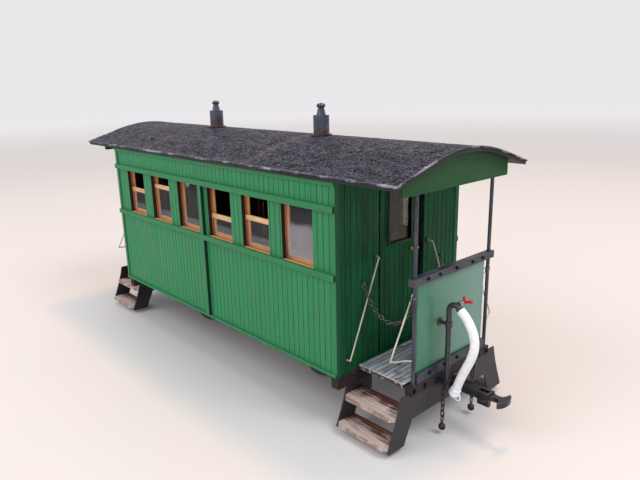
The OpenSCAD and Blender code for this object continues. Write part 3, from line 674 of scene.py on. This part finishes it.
def sheet_panel(name, colour, reflection_colour, edge_colour):
    """The platform's painted sheet: satin green, greyed towards one upright edge by a painted
    reflection, with a pale strip along that edge, rubbed bare and a painted highlight."""
    f = Finish(name, 0.42)
    fibres = f.fibres((300, 300, 70), 50.0)
    dark, light = shades(colour, 0.84, 1.16)
    tone = f.weighted((fibres["Blotch"], 0.6), (fibres["Streak"], 0.4))
    f.colour = f.over(tone, dark, light)
    low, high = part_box("platform_panels")
    across = f.calc("MULTIPLY", f.y, f.calc("SIGN", f.x))
    # Painted reflection: the sheet greys towards one upright edge for the reflection in its gloss.
    painted_reflection = f.step(across, low.y * 0.9, high.y, 0, 0.85)
    f.cover(painted_reflection, linear(reflection_colour))
    # The pale strip beside that edge is rubbed bare paint and a painted highlight.
    worn = f.worn_edge(f.calc("SUBTRACT", high.y, across), 0.0004, 500.0)
    f.cover(worn, linear(edge_colour))
    f.set("Roughness", f.calc("MULTIPLY_ADD", fibres["Blotch"], 0.15, 0.24))
    f.bump(fibres["Blotch"], 0.00008, 0.4)
    return f.finished()


# ---- properties ----


def size_prop(name, text, default, low, high):
    """A length in metres that the user can change."""
    return bpy.props.FloatProperty(name=name, description=text, default=default, min=low, max=high,
                                   unit="LENGTH", precision=5)


def colour_prop(name, text, colour):
    """A display colour, 0 to 255, that the user can change."""
    return bpy.props.FloatVectorProperty(name=name, description=text, subtype="COLOR", size=3,
                                         min=0, max=255, default=colour)


class CoachSizes(bpy.types.PropertyGroup):
    """Sizes of the finer pieces"""

    felt_wrinkle: size_prop("Felt wrinkle", "Height of the felt's creases", 0.0005, 0, 0.001)
    seam_half: size_prop("Lap half width", "Half of a stained lap's width", 0.0038, 0.001, 0.01)
    rail_wire: size_prop("Grab rail radius", "Radius of the rails' wire", 0.00039, 0.0003, 0.0008)
    chain_wire: size_prop("Chain wire radius", "Radius of the wire of an entrance chain", 0.00021,
                          0.0001, 0.0005)
    chain_link: size_prop("Chain link length", "Outer length of a link", 0.0029, 0.0015, 0.005)
    hose_radius: size_prop("Hose radius", "Outer radius of the hose", 0.0021, 0.0015, 0.003)
    rail_edge: size_prop("Window rail rounding", "Edge radius of the windows' pull rails", 0.00025,
                         0.0001, 0.0006)


class CoachColours(bpy.types.PropertyGroup):
    """Paints, woods and metals"""

    side_green: colour_prop("Side green", "Paint of the side walls", (36, 126, 80))
    # Painted shade: the end green is the body's green darkened for the shade on the coach's ends.
    end_green_shaded: colour_prop("End green", "Paint of the end walls and doors", (10, 74, 42))
    trim_green: colour_prop("Trim green", "Paint of the battens and corner strips", (36, 120, 74))
    # Painted shade: the headboard green is the body's green darkened for the shade under the roof's
    # ends.
    board_green_shaded: colour_prop("Headboard green", "Paint of the boards under the roof's ends",
                             (24, 74, 38))
    panel_green: colour_prop("Panel green", "Paint of the platform's sheet", (62, 117, 94))
    # Painted reflection: the greyer green of the panel's far half.
    panel_reflection: colour_prop("Faded panel green", "Its greyer far half", (102, 140, 130))
    felt_grey: colour_prop("Felt grey", "Colour of the roof felt", (44, 45, 62))
    felt_rub: colour_prop("Rubbed felt", "Scuffs along the eaves", (176, 180, 194))
    seam_brown: colour_prop("Lap stain", "Rusty stain beside the felt's laps", (104, 56, 40))
    iron_grey: colour_prop("Iron grey", "Painted iron of rails, posts and pipes", (50, 54, 64))
    sash_tan: colour_prop("Sash wood", "Pull rails of the windows", (214, 172, 126))
    lining_tan: colour_prop("Lining wood", "Frames round the windows", (232, 162, 104))
    tread_brown: colour_prop("Tread brown", "Sheltered part of the step boards", (96, 58, 46))
    tread_worn: colour_prop("Worn tread", "Trodden part of the step boards", (204, 184, 180))
    floor_grey: colour_prop("Floor grey", "Platform floor boards", (160, 167, 176))
    hose_white: colour_prop("Hose white", "Skin of the hose", (236, 238, 244))


def sizes():
    """The sizes that the user can change."""
    return bpy.context.scene.coach_sizes


def colours():
    """The colours that the user can change."""
    return bpy.context.scene.coach_colours


def pair(stem):
    """The names of a front and a rear node."""
    return tuple(f"{stem}_{end}" for end, _ in ENDS)


def dress(material, *names):
    """Gives CAD nodes a material, in each of their slots."""
    for name in names:
        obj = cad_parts[name]
        if not obj.data.materials:
            obj.data.materials.append(material)
        for k in range(len(obj.material_slots)):
            obj.material_slots[k].material = material


def settle(obj, material, body, slot, *replaced):
    """Gives a new piece its material and its body, and hides the CAD nodes it stands for. Its slot
    is not used.
    """
    obj.data.materials.append(material)
    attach(obj, body)
    if replaced:
        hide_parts(*replaced)
    return obj


# ---- operators ----


def stood(place, right, up, back):
    """The matrix that stands a camera or lamp at a place, with its own three axes along these."""
    turn = np.eye(4)
    turn[:3] = np.stack([right, up, back, place], axis=1)
    return Matrix(turn.tolist())


class COACH_OT_camera(bpy.types.Operator):
    """Sets the viewing camera beside the front right corner"""

    bl_idname = "coach.camera"
    bl_label = "Camera"
    bl_options = {"REGISTER", "UNDO"}

    def execute(self, context):
        # Yaw turns the view about the vertical, pitch tips it down and roll leans it.
        yaw, pitch, roll = math.radians(47.4), math.radians(15.25), math.radians(-1.26)
        place = (0.29398, -0.22586, 0.16804)
        forward = np.array([-math.sin(yaw) * math.cos(pitch), math.cos(yaw) * math.cos(pitch),
                            -math.sin(pitch)])
        level = np.array([math.cos(yaw), math.sin(yaw), 0.0])
        upright = np.cross(level, forward)
        right = math.cos(roll) * level + math.sin(roll) * upright
        up = -math.sin(roll) * level + math.cos(roll) * upright
        data = bpy.data.cameras.new("view")
        data.sensor_width = 36.0
        data.lens = 33.43
        data.clip_start = 0.01
        camera = bpy.data.objects.new("view", data)
        camera.matrix_world = stood(place, right, up, -forward)
        context.scene.collection.objects.link(camera)
        context.scene.camera = camera
        return {"FINISHED"}


# The hose hangs from the tap's nozzle. Its coupling head is turned: (radius, length along it).
# A bent wire is its clasp. All are in millimetres.
HOSE_ROUTE = [(151.8, -9.5, 35.4), (154.4, -9.5, 33.2), (157, -9.5, 29.8), (159, -9.5, 25.9),
              (159.9, -9.5, 21.4), (159.4, -9.5, 16.8), (157.9, -9.5, 12.3), (156, -9.5, 8),
              (154.2, -9.5, 3.8), (152.6, -9.5, -0.4), (151.3, -9.5, -4)]
COUPLING_HEAD = [(0, 0.02), (2.1, 0.02), (2.45, 0.2), (2.45, 2.0), (2.7, 2.3), (2.7, 2.9),
                 (2.3, 3.9), (1.6, 4.9), (1.05, 5.2), (0.9, 5.1), (0.85, 3.2), (0, 3.2)]
COUPLING_CLASP = [(152.4, -9.5, -6.4), (153.6, -9.6, -7.6), (153.4, -9.7, -9.2),
                  (152, -9.7, -9.9), (150.6, -9.7, -9.1), (150, -9.6, -7.6)]
CLASP_WIRE = 0.3 * MM


class COACH_OT_hose(bpy.types.Operator):
    """Hangs the white hose from the front tap, with its coupling head"""

    bl_idname = "coach.hose"
    bl_label = "Hose"
    bl_options = {"REGISTER", "UNDO"}

    def execute(self, context):
        rubber = smooth_coat("hose_rubber", colours().hose_white, 0.42, speckle=0.04)
        radius = sizes().hose_radius
        route = even_path(bent(HOSE_ROUTE), 48)
        hose = surface("hose_skin", [tube(route, radius, 28)])
        settle(hose, rubber, "coach", "hose_white", "hose")
        end, way = route[-1], unit(route[-1] - route[-2])
        head = lathe(np.array(COUPLING_HEAD) * MM, end, way)
        clasp = tube(bent(COUPLING_CLASP, per_span=6), CLASP_WIRE, 8)
        coupling = surface("hose_coupling_head", [head, clasp], sharp=35)
        settle(coupling, rubber, "coach", "hose_white", "hose_coupling")
        return {"FINISHED"}


class COACH_OT_body_paint(bpy.types.Operator):
    """Paints the planked walls, the doors, the battens and the strips"""

    bl_idname = "coach.body_paint"
    bl_label = "Body paint"
    bl_options = {"REGISTER", "UNDO"}

    def execute(self, context):
        c = colours()
        wall_low, wall_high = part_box("side_wall_right")
        side_rows = ("x", wall_low.x, (wall_high.x - wall_low.x) / SIDE_PLANKS)
        # The openings' x-facing cut faces are dark brown, for stained wood and painted shade; their
        # top and bottom faces take the lining's tan.
        cut_edges = ((0, (40, 30, 24), OPENING_LOW, OPENING_HIGH),
                     (2, c.lining_tan, OPENING_LOW, OPENING_HIGH))
        # Painted shade: the side walls' faces toward the cabin are coloured dark.
        side = painted_boards("side_boards", c.side_green, side_rows,
                              shade_inside=("y", WALL_FACE - WALL_SHADE_DEPTH), reveals=cut_edges)
        dress(side, "side_wall_left", "side_wall_right")
        # Painted glints: the ends' wide spread of streak shades stands in for glints on the brush
        # strokes; their sheen and bump are real.
        coat_with_painted_glints = {"sheen": 0.15, "spread": (0.36, 1.85), "brush": 0.0002}
        # Painted shade: the end walls and doors take the end green, the body's green darkened for
        # the shade on the ends.
        end_rows = ("y", END_PLANK_START, END_PLANK_WIDTH / END_PLANKS)
        dress(painted_boards("end_boards", c.end_green_shaded, end_rows,
                             shade_inside=("x", END_FACE - WALL_SHADE_DEPTH), **coat_with_painted_glints), *pair("end_wall"))
        door_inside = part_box("end_door_front")[0].x + 0.0002
        door_rows = ("y", -DOOR_HALF, 2 * DOOR_HALF / DOOR_PLANKS)
        dress(painted_boards("door_boards", c.end_green_shaded, door_rows, shade_inside=("x", door_inside),
                             **coat_with_painted_glints), *pair("end_door"))
        # Painted shade: the battens' x-facing ends are coloured dark green for the shade on them.
        batten_end_shade = ((0, (22, 44, 32), 0, ROOF_TOP),)
        dress(painted_boards("trim_paint", c.trim_green, fibre="x", reveals=batten_end_shade),
              "side_battens")
        # Painted shade: the corner strips' end-facing sides take the darkened end green.
        strip_shaded_sides = ((0, c.end_green_shaded, 0, ROOF_TOP),)
        dress(painted_boards("corner_paint", c.trim_green, reveals=strip_shaded_sides), "corner_strips")
        # Painted shade: the headboards take the darkened headboard green.
        dress(painted_boards("headboard_paint", c.board_green_shaded, fibre="y", sheen=0.2),
              "headboards")
        dress(painted_boards("frame_paint", (34, 40, 38)), "door_frames")
        dress(bare_wood("cabin_floor", (58, 44, 34)), "body_floor")
        return {"FINISHED"}


def roof_height(y):
    """The roof's outer face across the coach. Over its eaves it rises by 0.85 of cos(pi/2 y/w)
    and 0.075 of 1 + cos(pi y/w), times the rise, with w half the roof's width."""
    wave = 0.85 * np.cos(np.pi / 2 * y / ROOF_HALF) + 0.075 * (1 + np.cos(np.pi * y / ROOF_HALF))
    return ROOF_TOP - ROOF_RISE + ROOF_RISE * wave


def felt_creases(gx, gy):
    """Height of the creases: three sheets of ridges, each 1 - |2 h - 1| of a smooth random height
    h to the power 1.6, on cells that get smaller and are bent by a slower wave."""
    bend = 0.004 * (lattice(gx, gy, 0.013, 5) - 0.5)
    crease = 0
    sheets = ((0.2, 0.0029, 11), (0.4, 0.0017, 12), (0.4, 0.0011, 13))
    for k, (weight, cell, seed) in enumerate(sheets, 1):
        height = lattice(0.6 * gx + bend * k, gy - bend, cell, seed)
        crease = crease + weight * (1 - np.abs(2 * height - 1)) ** 1.6
    return crease


def close_ends(mesh):
    """Fills the open rings of a mesh with triangles and turns its faces outwards."""
    ends = bmesh.new()
    ends.from_mesh(mesh)
    bmesh.ops.holes_fill(ends, edges=[e for e in ends.edges if e.is_boundary])
    bmesh.ops.triangulate(ends, faces=[f for f in ends.faces if len(f.verts) > 4])
    bmesh.ops.recalc_face_normals(ends, faces=ends.faces)
    ends.to_mesh(mesh)
    ends.free()


class COACH_OT_roof_felt(bpy.types.Operator):
    """Lays the wrinkled felt over the roof boards"""

    bl_idname = "coach.roof_felt"
    bl_label = "Roof felt"
    bl_options = {"REGISTER", "UNDO"}

    def execute(self, context):
        c = colours()
        wrinkle = sizes().felt_wrinkle
        columns, across, under = 560, 150, 16
        lap_half, lap_sink, flat_edge, fray = 0.0016, 0.00012, 0.0012, 0.0003
        x = np.linspace(-ROOF_END, ROOF_END, columns)
        y = np.linspace(-ROOF_HALF, ROOF_HALF, across)
        gx, gy = np.meshgrid(x, y, indexing="ij")
        lap = sum(np.exp(-(((gx - s) / lap_half) ** 2)) for s in ROOF_SEAMS)
        edge = np.minimum(ROOF_HALF - np.abs(gy), ROOF_END - np.abs(gx))
        fade = np.clip(edge / flat_edge, 0, 1)
        depth = wrinkle * (felt_creases(gx, gy) - 1) * fade + lap_sink * (lap - 1) * fade
        top = np.stack([gx, gy, roof_height(gy) + np.minimum(depth, 0)], axis=-1)
        ragged = fray * (lattice(gx, gy, 0.0035, 21) - 0.6)
        top[:, 0, 1] += np.abs(ragged[:, 0])
        top[:, -1, 1] -= np.abs(ragged[:, -1])
        lx, ly = np.meshgrid(x, np.linspace(ROOF_HALF, -ROOF_HALF, under), indexing="ij")
        low = np.stack([lx, ly, roof_height(ly) - FELT_THICK], axis=-1)
        ring = np.concatenate([top, low], axis=1).transpose(1, 0, 2)
        felt = surface("roof_felt_sheet", [ring], caps=False, sharp=60)
        mesh = felt.data
        close_ends(mesh)
        place = np.zeros(len(mesh.vertices) * 3)
        mesh.vertices.foreach_get("co", place)
        place = place.reshape(-1, 3)
        # Painted shade: this shading is one on the felt's full height and falls to nought in its
        # creases, where it darkens the colour.
        sunk = roof_height(place[:, 1]) - place[:, 2]
        ridge_shading = np.clip(1 - sunk / (wrinkle * 1.2), 0, 1)
        mesh.attributes.new("ridge_shading", "FLOAT", "POINT").data.foreach_set("value", ridge_shading)
        tar = roof_felt_finish("roof_felt_tar", c.felt_grey, c.felt_rub, c.seam_brown,
                               sizes().seam_half)
        settle(felt, tar, "coach", "roof_felt", "roof_felt")
        dress(painted_boards("roof_boards", (26, 25, 30), fibre="x", rubbed=(96, 98, 110)),
              "roof_deck")
        dress(weathered_metal("vent_iron", (60, 64, 78), 0.3, 0.55, rust=0.12, light=2.2,
                              rust_below=ROOF_TOP + 0.0015), "roof_vents")
        return {"FINISHED"}


class COACH_OT_windows(bpy.types.Operator):
    """Fits each drop window's wooden rail and glass, and finishes the window linings"""

    bl_idname = "coach.windows"
    bl_label = "Windows"
    bl_options = {"REGISTER", "UNDO"}

    def execute(self, context):
        rail_wood = bare_wood("sash_wood", colours().sash_tan)
        glass = window_glass("window_glass", (170, 168, 176), dust_and_reflection_low=SILL + 0.0585,
                             dust_and_reflection_high=SILL + 0.0625, thin=0.05, thick=0.38, framed=True)
        lining_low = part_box("window_linings")[0].y
        # Painted shade darkens the linings' faces toward the cabin; a painted highlight pales their
        # upward faces.
        dress(bare_wood("lining_wood", colours().lining_tan, "z",
                        -lining_low - LINING_SHADE_DEPTH, (226, 196, 160)), "window_linings")
        pane_gap, pane_half, pane_edge, under_rail = 0.0002, 0.0003, 0.00008, 0.00005
        for side in ("right", "left"):
            for number in range(1, WINDOWS_PER_SIDE + 1):
                name = f"window_{side}_{number}"
                low, high = (np.array(v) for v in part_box(name))
                split = high[2] - SASH_RAIL_HEIGHT
                bar = rounded_box((low[0], low[1], split), high, sizes().rail_edge)
                settle(surface(name + "_rail", [bar]), rail_wood, name, "sash_wood", name)
                middle = (low[1] + high[1]) / 2
                sheet = rounded_box((low[0] + pane_gap, middle - pane_half, low[2]),
                                    (high[0] - pane_gap, middle + pane_half, split - under_rail),
                                    pane_edge, 1)
                settle(surface(name + "_glass", [sheet]), glass, name, "glass")
        return {"FINISHED"}


class COACH_OT_end_doors(bpy.types.Operator):
    """Frames the end doors' windows and finishes their glass and levers"""

    bl_idname = "coach.end_doors"
    bl_label = "End doors"
    bl_options = {"REGISTER", "UNDO"}

    def execute(self, context):
        # Painted reflection: the door glass carries a nearly opaque olive layer for the dim
        # reflection in it.
        dress(window_glass("door_glass", (50, 47, 32), dust_and_reflection_low=SILL + 0.06,
                           dust_and_reflection_high=SILL + 0.068, thin=0.55, thick=0.7), *pair("door_pane"))
        dress(weathered_metal("lever_brass", (200, 180, 122), 0.34, 0.8), *pair("door_lever"))
        dark = painted_boards("door_window_paint", (26, 52, 40))
        behind, proud, wide, lap = 0.0012, 0.0004, 0.0007, 0.0003
        for end, s in ENDS:
            (_, left, sill), (_, right, top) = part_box(f"door_pane_{end}")
            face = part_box(f"end_door_{end}")[1 if s > 0 else 0].x
            x0, x1 = face - s * behind, face + s * proud
            bars = [
                ((x0, left - wide, sill - wide), (x1, left + lap, top + wide)),
                ((x0, right - lap, sill - wide), (x1, right + wide, top + wide)),
                ((x0, left + lap, top - lap), (x1, right - lap, top + wide)),
                ((x0, left + lap, sill - wide), (x1, right - lap, sill + lap)),
            ]
            framing = surface(f"door_window_frame_{end}",
                              [rounded_box(np.array(a), np.array(b), 0.0002, 2) for a, b in bars])
            settle(framing, dark, f"door_{end}", "frame_dark")
        return {"FINISHED"}


class COACH_OT_platforms(bpy.types.Operator):
    """Finishes the platform floors, panels, posts, beams and bolts"""

    bl_idname = "coach.platforms"
    bl_label = "Platforms"
    bl_options = {"REGISTER", "UNDO"}

    def execute(self, context):
        c = colours()
        start = END_FACE + 0.0006
        board = (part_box("platform_floors")[1].x - start) / FLOOR_PLANKS
        dress(weathered_floor("floor_boards", c.floor_grey, (214, 222, 230), (66, 52, 48),
                              (206, 200, 196), start, board), "platform_floors")
        dress(sheet_panel("panel_sheet", c.panel_green, c.panel_reflection, (190, 200, 190)),
              "platform_panels")
        dress(weathered_metal("rail_iron", c.iron_grey, 0.42, 0.35, light=2.0), "railing_beams",
              "railing_posts", "kick_strips")
        dress(weathered_metal("bolt_iron", (26, 25, 28), 0.35, 0.5), "railing_bolts")
        return {"FINISHED"}


class COACH_OT_steps(bpy.types.Operator):
    """Finishes the step boards and the plates that carry them"""

    bl_idname = "coach.steps"
    bl_label = "Steps"
    bl_options = {"REGISTER", "UNDO"}

    def execute(self, context):
        c = colours()
        dress(trodden_boards("step_boards", c.tread_brown, c.tread_worn, (214, 204, 202),
                             (122, 84, 64), (0.0375, 0.0435), (0.0414, 0.0428)), "step_treads")
        dress(weathered_metal("step_iron", (40, 38, 43), 0.46, 0.25, rust=0.08, light=1.7),
              "step_plates")
        return {"FINISHED"}


class COACH_OT_grab_rails(bpy.types.Operator):
    """Bends the grab rails of the entrances, with their rosettes"""

    bl_idname = "coach.grab_rails"
    bl_label = "Grab rails"
    bl_options = {"REGISTER", "UNDO"}

    def execute(self, context):
        wire = weathered_metal("rail_wire", (196, 190, 174), 0.4, 0.3, rust=0.22,
                               rust_colour=(120, 92, 70), light=1.15)
        dark = weathered_metal("rosette_iron", (44, 42, 42), 0.5, 0.4)
        r = sizes().rail_wire
        face, head = END_FACE / MM, HEAD_FACE / MM
        wall_rail = [(face + 0.1, -20.4, 55), (face + 2.2, -20.5, 55), (face + 3.1, -21, 54.5),
                     (face + 3.2, -22.4, 52), (face + 3.2, -31.4, 30.9), (face + 3.2, -40.4, 9.8),
                     (face + 2.9, -40.9, 8.3), (face + 2, -41, 7.7), (face + 0.1, -41, 7.4)]
        post_rail = [(head - 4.2, -22.2, 49.2), (head - 5.1, -23, 48), (head - 5.4, -24, 46.2),
                     (head - 5.4, -32, 31.6), (head - 5.4, -40, 17), (head - 5.3, -39.9, 15.6),
                     (head - 4.6, -37.6, 14.9), (head - 3, -33, 14.4), (head - 1.4, -30.7, 14)]
        rails, twisted, rosettes = [], [], []
        for sx, sy in QUADRANTS:
            rails.append(tube(bent(wall_rail, sx, sy), r, reference=(1, 0, 0)))
            path = even_path(bent(post_rail, sx, sy), 150)
            twisted.append(tube(path, r, 10, (1, 0, 0), ripple=0.22, turns=26))
            for y, z, big in ((-20.4, 55, 1.5), (-41, 7.4, 1.2)):
                profile = np.array([(0, 0), (big, 0), (big, 0.3), (0.75, 0.7), (0, 0.7)]) * MM
                rosettes.append(lathe(profile, placed((face, y, z), sx, sy), (sx, 0, 0), 20))
        settle(surface("wall_grab_rails", rails), wire, "coach", "wire_cream", "grab_rails")
        settle(surface("post_grab_rails", twisted, sharp=80), wire, "coach", "wire_cream",
               "grab_rails")
        settle(surface("rail_rosettes", rosettes, sharp=30), dark, "coach", "iron_dark")
        return {"FINISHED"}


# An entrance chain's line and the hook on the wall that holds it, in millimetres.
CHAIN_ROUTE = [(111.5, -30.5, 43.5), (112.6, -30.2, 40.6), (114, -29.8, 37.2),
               (116.2, -29.3, 33.6), (119, -28.8, 30.4), (122.4, -28.4, 28.1), (126, -28.1, 27.3),
               (129.6, -27.8, 28.1), (133, -27.6, 30.6), (135.6, -27.5, 33.2),
               (137.3, -27.5, 35.9), (138.4, -27.8, 38.8), (139.1, -28.4, 41.4),
               (139.5, -29, 43.4)]
CHAIN_HOOK = [(END_FACE / MM + out, -30.6, height) for out, height in
              ((0, 44.6), (1.6, 44.8), (2.6, 44.4), (2.8, 43.6), (2.2, 43.2))]


def chain_links(path, link_length, wire):
    """Links threaded along a line. A link's centreline is (L cos^0.8, W sin^0.8) in its own
    plane, which turns a quarter from one link to the next, with a round wire about it."""
    width_share = 0.7
    pitch = link_length - 4 * wire
    count = int(round(path_length(path) / pitch))
    spots = even_path(path, 2 * count + 1)
    centres = spots[1::2]
    along = unit(spots[2::2] - spots[:-2:2])
    a = unit(np.cross(np.broadcast_to((0.0, 1.0, 0.0), along.shape), along))
    b = np.cross(along, a)
    roll = np.where(np.arange(count) % 2, math.radians(45), math.radians(-45))[:, None]
    flat = np.cos(roll) * a + np.sin(roll) * b
    normal = np.cross(along, flat)
    v = np.linspace(0, 2 * np.pi, 18, endpoint=False)
    half_l, half_w = link_length / 2 - wire, link_length * width_share / 2 - wire
    run = half_l * np.sign(np.cos(v)) * np.abs(np.cos(v)) ** 0.8
    rise = half_w * np.sign(np.sin(v)) * np.abs(np.sin(v)) ** 0.8
    out = unit(np.stack([half_w * np.cos(v), half_l * np.sin(v)], axis=-1))
    u = np.linspace(0, 2 * np.pi, 6, endpoint=False)
    in_plane = wire * np.cos(u)[:, None]
    across = (wire * np.sin(u))[:, None] * np.ones_like(v)
    line = run[None] + in_plane * out[None, :, 0]
    side = rise[None] + in_plane * out[None, :, 1]
    return [centres[k] + line[..., None] * along[k] + side[..., None] * flat[k]
            + across[..., None] * normal[k] for k in range(count)]


class COACH_OT_entrance_chains(bpy.types.Operator):
    """Threads the four entrance chains, with the hooks that hold them"""

    bl_idname = "coach.entrance_chains"
    bl_label = "Entrance chains"
    bl_options = {"REGISTER", "UNDO"}

    def execute(self, context):
        iron = weathered_metal("chain_iron", (82, 78, 80), 0.24, 0.92, rust=0.1, light=2.4)
        links, hooks = [], []
        collar = np.array([(0.92, -0.5), (1.25, -0.5), (1.25, 0.5), (0.92, 0.5)]) * MM
        for sx, sy in QUADRANTS:
            route = bent(CHAIN_ROUTE, sx, sy)
            links += chain_links(route, sizes().chain_link, sizes().chain_wire)
            hooks.append(tube(bent(CHAIN_HOOK, sx, sy, 6), 0.35 * MM, 10))
            post = placed((HEAD_FACE / MM - 1.4, -29.3, 44), sx, sy)
            hooks.append(lathe(collar, post, (0, 0, 1), 20))
        chains = surface("entrance_chain_links", links, close_v=True, caps=False, sharp=80)
        settle(chains, iron, "coach", "chain_iron", "safety_chains")
        settle(surface("entrance_chain_hooks", hooks), iron, "coach", "chain_iron")
        return {"FINISHED"}


class COACH_OT_running_gear(bpy.types.Operator):
    """Finishes the underframe, springs, axle guards and wheels"""

    bl_idname = "coach.running_gear"
    bl_label = "Running gear"
    bl_options = {"REGISTER", "UNDO"}

    def execute(self, context):
        dress(painted_boards("underframe_timber", (40, 30, 30), fibre="x", roughness=0.7,
                             rubbed=(84, 60, 52)), "underframe")
        dress(painted_boards("headstock_timber", (46, 35, 35), fibre="y", roughness=0.7,
                             rubbed=(104, 74, 62)), "headstocks")
        dress(weathered_metal("guard_iron", (46, 42, 42), 0.6, 0.3, rust=0.3), "axle_guards",
              "axle_springs")
        dress(weathered_metal("wheel_iron", (88, 80, 76), 0.45, 0.75, rust=0.4), *pair("wheels"))
        dress(weathered_metal("axle_steel", (120, 118, 116), 0.35, 0.9), *pair("axle"))
        return {"FINISHED"}


class COACH_OT_drawgear(bpy.types.Operator):
    """Finishes the central buffers, their guides and the coupling chains"""

    bl_idname = "coach.drawgear"
    bl_label = "Drawgear"
    bl_options = {"REGISTER", "UNDO"}

    def execute(self, context):
        iron = weathered_metal("drawgear_iron", (40, 37, 41), 0.27, 0.55, rust=0.16, light=3.0)
        dress(iron, "draw_boxes", "eye_bolts", *pair("buffer"))
        dress(weathered_metal("coupling_chain_iron", (58, 46, 42), 0.42, 0.55, rust=0.35,
                              rust_colour=(106, 64, 42), light=1.8), *pair("coupling_chains"))
        return {"FINISHED"}


def pipe_iron():
    """The standpipes' dark iron, bright where the tap's gland and nozzle are bare."""
    f = Finish("pipe_iron", 0.36, 0.4)
    grit = f.noise(1400, 3.0)
    dark, light = shades((58, 57, 66), 0.7, 1.4)
    bare_dark, bare_light = shades((168, 170, 176), 0.6, 1.1)
    tone = f.step(grit, 0.35, 0.65)
    across = f.calc("MULTIPLY", f.y, f.calc("SIGN", f.x))
    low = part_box("cock_handle_front")[0]
    bare = f.calc("MULTIPLY", f.calc("GREATER_THAN", across, low.y - 0.0012),
                  f.calc("GREATER_THAN", f.z, low.z - 0.001))
    f.colour = f.over(tone, dark, light)
    f.cover(bare, f.over(tone, bare_dark, bare_light))
    f.set("Metallic", f.calc("MULTIPLY_ADD", bare, 0.5, 0.3))
    f.bump(grit, 0.00006, 0.6)
    return f.finished()


class COACH_OT_taps(bpy.types.Operator):
    """Finishes the standpipes and their red tap handles"""

    bl_idname = "coach.taps"
    bl_label = "Taps"
    bl_options = {"REGISTER", "UNDO"}

    def execute(self, context):
        dress(pipe_iron(), "standpipes")
        dress(smooth_coat("handle_enamel", (196, 44, 52), 0.3, 0.4), *pair("cock_handle"))
        return {"FINISHED"}


class COACH_OT_stage(bpy.types.Operator):
    """Lays the pale floor and sets the soft studio lights"""

    bl_idname = "coach.stage"
    bl_label = "Stage"
    bl_options = {"REGISTER", "UNDO"}

    def execute(self, context):
        below_wheels = 0.00002
        u = np.linspace(0, 2 * np.pi, 96, endpoint=False)[:, None]
        r = np.concatenate([[0.0], np.geomspace(0.05, 6.0, 24)])[None, :]
        ground = np.stack([r * np.cos(u), -r * np.sin(u), 0 * u * r - below_wheels], axis=-1)
        floor = surface("floor", [ground], caps=False, smooth=False)
        f = Finish("floor_paint", 0.6)
        away = node(f.tree, "ShaderNodeVectorMath", {0: f.place}, operation="LENGTH")
        middle = f.step(away.outputs["Value"], 0.28, 0.6)
        far = f.step(away.outputs["Value"], 0.9, 2.6)
        tone = f.step(f.noise(5), 0.3, 0.7)
        f.colour = f.over(tone, linear((209, 206, 208)), linear((206, 205, 208)))
        f.cover(middle, linear((212, 209, 210)))
        f.cover(far, linear((253, 252, 254)))
        floor.data.materials.append(f.finished())
        world = bpy.data.worlds.new("studio")
        world.use_nodes = True
        sky = world.node_tree.nodes["Background"]
        sky.inputs[0].default_value = (1.0, 0.99, 1.0, 1)
        sky.inputs[1].default_value = 0.82
        context.scene.world = world
        context.scene.view_settings.view_transform = "Standard"
        aim = (0, 0, 0.06)
        lamps = (("key", (-0.25, -0.95, 0.95), 0.8, 7.0, (1.0, 0.97, 0.93)),
                 ("front", (0.8, 0.08, 1.05), 0.5, 6.5, (0.98, 1.0, 1.0)),
                 ("top", (0.05, 0.27, 1.2), 0.16, 4.4, (1.0, 0.5, 0.12)))
        for name, place, size, power, tint in lamps:
            light = bpy.data.lights.new(name, "AREA")
            light.size, light.energy, light.color = size, power, tint
            lamp = bpy.data.objects.new(name, light)
            back = unit(np.array(place) - aim)
            right = unit(np.cross((0, 0, 1), back))
            lamp.matrix_world = stood(place, right, np.cross(back, right), back)
            context.scene.collection.objects.link(lamp)
        return {"FINISHED"}


OPERATORS = (COACH_OT_camera, COACH_OT_hose, COACH_OT_body_paint, COACH_OT_roof_felt,
             COACH_OT_windows, COACH_OT_end_doors, COACH_OT_platforms, COACH_OT_steps,
             COACH_OT_grab_rails, COACH_OT_entrance_chains, COACH_OT_running_gear,
             COACH_OT_drawgear, COACH_OT_taps, COACH_OT_stage)


class COACH_PT_panel(bpy.types.Panel):
    """Lists the coach's sizes, colours and pieces"""

    bl_idname = "COACH_PT_panel"
    bl_label = "Coach"
    bl_space_type = "VIEW_3D"
    bl_region_type = "UI"
    bl_category = "Coach"

    def draw(self, context):
        layout = self.layout
        for operator in OPERATORS:
            layout.operator(operator.bl_idname)
        for group in (context.scene.coach_sizes, context.scene.coach_colours):
            box = layout.box()
            for key in group.__annotations__:
                box.prop(group, key)


CLASSES = (CoachSizes, CoachColours, *OPERATORS, COACH_PT_panel)


def register():
    """Makes the classes and the scene's two groups of values known."""
    for cls in CLASSES:
        bpy.utils.register_class(cls)
    bpy.types.Scene.coach_sizes = bpy.props.PointerProperty(type=CoachSizes)
    bpy.types.Scene.coach_colours = bpy.props.PointerProperty(type=CoachColours)


def unregister():
    """Takes them away again."""
    del bpy.types.Scene.coach_colours
    del bpy.types.Scene.coach_sizes
    for cls in reversed(CLASSES):
        bpy.utils.unregister_class(cls)


def main():
    """Builds the shared node groups and every piece."""
    register()
    plank_rows_group()
    fibre_group()
    worn_edge_group()
    for operator in OPERATORS:
        area, name = operator.bl_idname.split(".")
        getattr(getattr(bpy.ops, area), name)()


if __name__ == "__main__":
    main()
